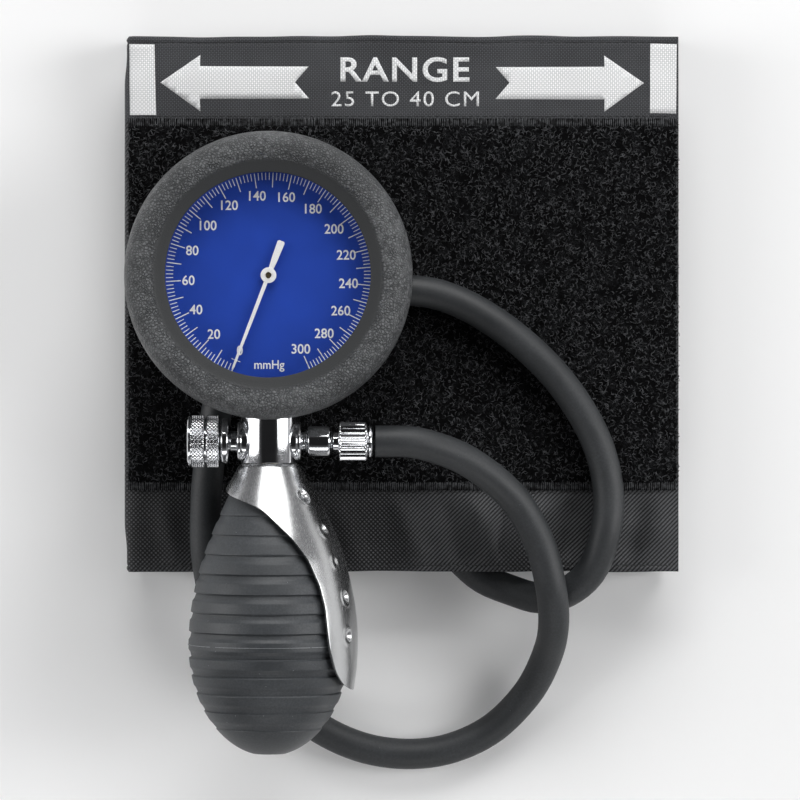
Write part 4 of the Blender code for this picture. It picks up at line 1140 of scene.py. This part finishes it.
def make_seams(mats):
    shapes = []
    for y in (HEM, -HEM):
        shapes += seam_along(y, 2.3, 1.75, 0.17)
    for y in (PILE_LOW_Y - 0.7, PILE_HIGH_Y + 0.7):
        shapes += seam_along(y, 1.9, 1.4, 0.13)
    seams = mesh_from("cuff_stitching", *gather(shapes), "root", mats["thread"])
    return seams


# ---- fastener pile
PILE_HALF_X = 75.2
SELVEDGE = 2.3
RIB_PITCH = 0.55


def pile_height(x, y):
    """Height of the pile's ground above the cloth: low at the woven selvedges, thin at the cut ends."""
    rise = smoothstep(0, 1.6, min(y - PILE_LOW_Y, PILE_HIGH_Y - y) - SELVEDGE * 0.75)
    rise *= 0.45 + 0.55 * smoothstep(0, 2.5, PILE_HALF_X + 0.4 - abs(x))
    lump = 0.16 * noise.noise(Vector((x / 0.9, y / 0.9, 1.0)))
    lump += 0.12 * noise.noise(Vector((x / 7, y / 7, 4.0)))
    return 0.32 + rise * (0.62 + lump)


def make_pile(mats):
    step = detail(0.8, 2.5)
    nx, ny = round(2 * PILE_HALF_X / step), round((PILE_HIGH_Y - PILE_LOW_Y) / step)
    layers = [], []
    for i in range(nx + 1):
        rows = [], []
        for y in np.linspace(PILE_LOW_Y, PILE_HIGH_Y, ny + 1).tolist():
            x = PILE_HALF_X * (2 * i / nx - 1)
            ragged = 0.5 * noise.noise(Vector((y / 1.7, 2.2 if x > 0 else 8.1, 0.3)))
            x += ragged * smoothstep(PILE_HALF_X - 4, PILE_HALF_X, abs(x))
            for row, above in zip(rows, (pile_height(x, y), -0.15)):
                row.append((x, y, top_face(x, y) + above))
        for layer, row in zip(layers, rows):
            layer.append(row)
    pile = outward(mesh_from("loop_pile", *slab(*layers), "root", mats["pile"]))
    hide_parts("loop_patch")

    ribs = []
    for low, high in ((PILE_HIGH_Y - SELVEDGE, PILE_HIGH_Y + 0.1), (PILE_LOW_Y - 0.1, PILE_LOW_Y + SELVEDGE)):
        count = round(2 * PILE_HALF_X / RIB_PITCH)
        for i in range(count):
            x = PILE_HALF_X * (2 * (i + 0.5) / count - 1) + rng.uniform(-0.06, 0.06)
            lean = rng.uniform(-0.12, 0.12)
            start = Vector((x, low + rng.uniform(-0.15, 0.15), 0))
            end = Vector((x + lean, high + rng.uniform(-0.15, 0.15), 0))
            for point in (start, end):
                point.z = top_face(point.x, point.y) + 0.36
            ribs.append(stitch_shape(start, end, 0.19, 0.14))
    selvedge = mesh_from("pile_selvedge", *gather(ribs), "root", mats["ribs"])
    return [pile, selvedge]


def make_fibres(mats):
    """Curled loops of yarn standing out of the pile, in batches along the patch."""
    batches, each = detail((4, 5200), (1, 1500))
    edge = SELVEDGE * 0.8
    sides, stages = 3, np.linspace(0, 1, 5)
    per = sides * len(stages)
    local = np.array(tube_faces(len(stages), sides))
    caps = np.array([(2, 1, 0), (per - 3, per - 2, per - 1)])
    starts = (np.arange(each) * per)[:, None, None]
    pieces = []
    for batch in range(batches):
        low = -PILE_HALF_X + 2 * PILE_HALF_X * batch / batches
        x = rng.uniform(low, low + 2 * PILE_HALF_X / batches, each)
        y = rng.uniform(PILE_LOW_Y + edge, PILE_HIGH_Y - edge, each)
        near_edge = rng.random(each) < (0.03 if batch in (0, batches - 1) else 0.0)
        x[near_edge] = (-1 if batch == 0 else 1) * (PILE_HALF_X + rng.uniform(-0.2, 0.25, near_edge.sum()))
        base = np.array([top_face(a, b) + pile_height(a, b) for a, b in zip(x, y)])
        turn = rng.uniform(0, 2 * math.pi, each)
        span = rng.uniform(0.7, 1.7, each)
        bend = rng.uniform(-0.6, 0.6, each)
        high = rng.uniform(0.16, 0.45, each)
        radius = rng.uniform(0.07, 0.13, each)
        heading = np.stack([np.cos(turn), np.sin(turn)], axis=1)
        across = leftward(heading)
        points = []
        for stage in stages:
            arch = math.sin(math.pi * stage)
            centre = np.stack([x, y], axis=1) + heading * (span * (stage - 0.5))[:, None]
            centre += across * (bend * arch * span)[:, None]
            for k in range(sides):
                angle = 2 * math.pi * k / sides + math.pi / 2
                side = centre + across * (radius * math.cos(angle))[:, None]
                points.append(np.column_stack([side, base + high * arch - 0.12 + radius * math.sin(angle)]))
        verts = np.stack(points, axis=1).reshape(-1, 3).tolist()
        faces = (starts + local).reshape(-1, 4).tolist() + (starts + caps).reshape(-1, 3).tolist()
        loops = mesh_from(f"loop_fibres_{batch + 1}", verts, faces, "root", mats["fibre"])
        pieces.append(loops)
    return pieces


# ---- materials of the carried-over CAD parts
def dress_cad_nodes(mats):
    for part in frame["record"]["subparts"]:
        node = frame["nodes"][part["node"]]
        look = mats[part["material_slot"]]
        for slot in node.material_slots:
            slot.material = look
        if not node.material_slots:
            node.data.materials.append(look)


def main():
    make_stage()
    mats = make_materials()
    dress_cad_nodes(mats)
    for make in (
        make_hose, make_bumper, make_dial, make_pointer, make_lens, make_manifold, make_fittings, make_bulb,
        make_spoon,
    ):
        make(mats)
    cuff, length = make_cuff(mats)
    sewn_on = [*make_print(mats), make_seams(mats), *make_pile(mats), *make_fibres(mats)]
    length * MM


main()
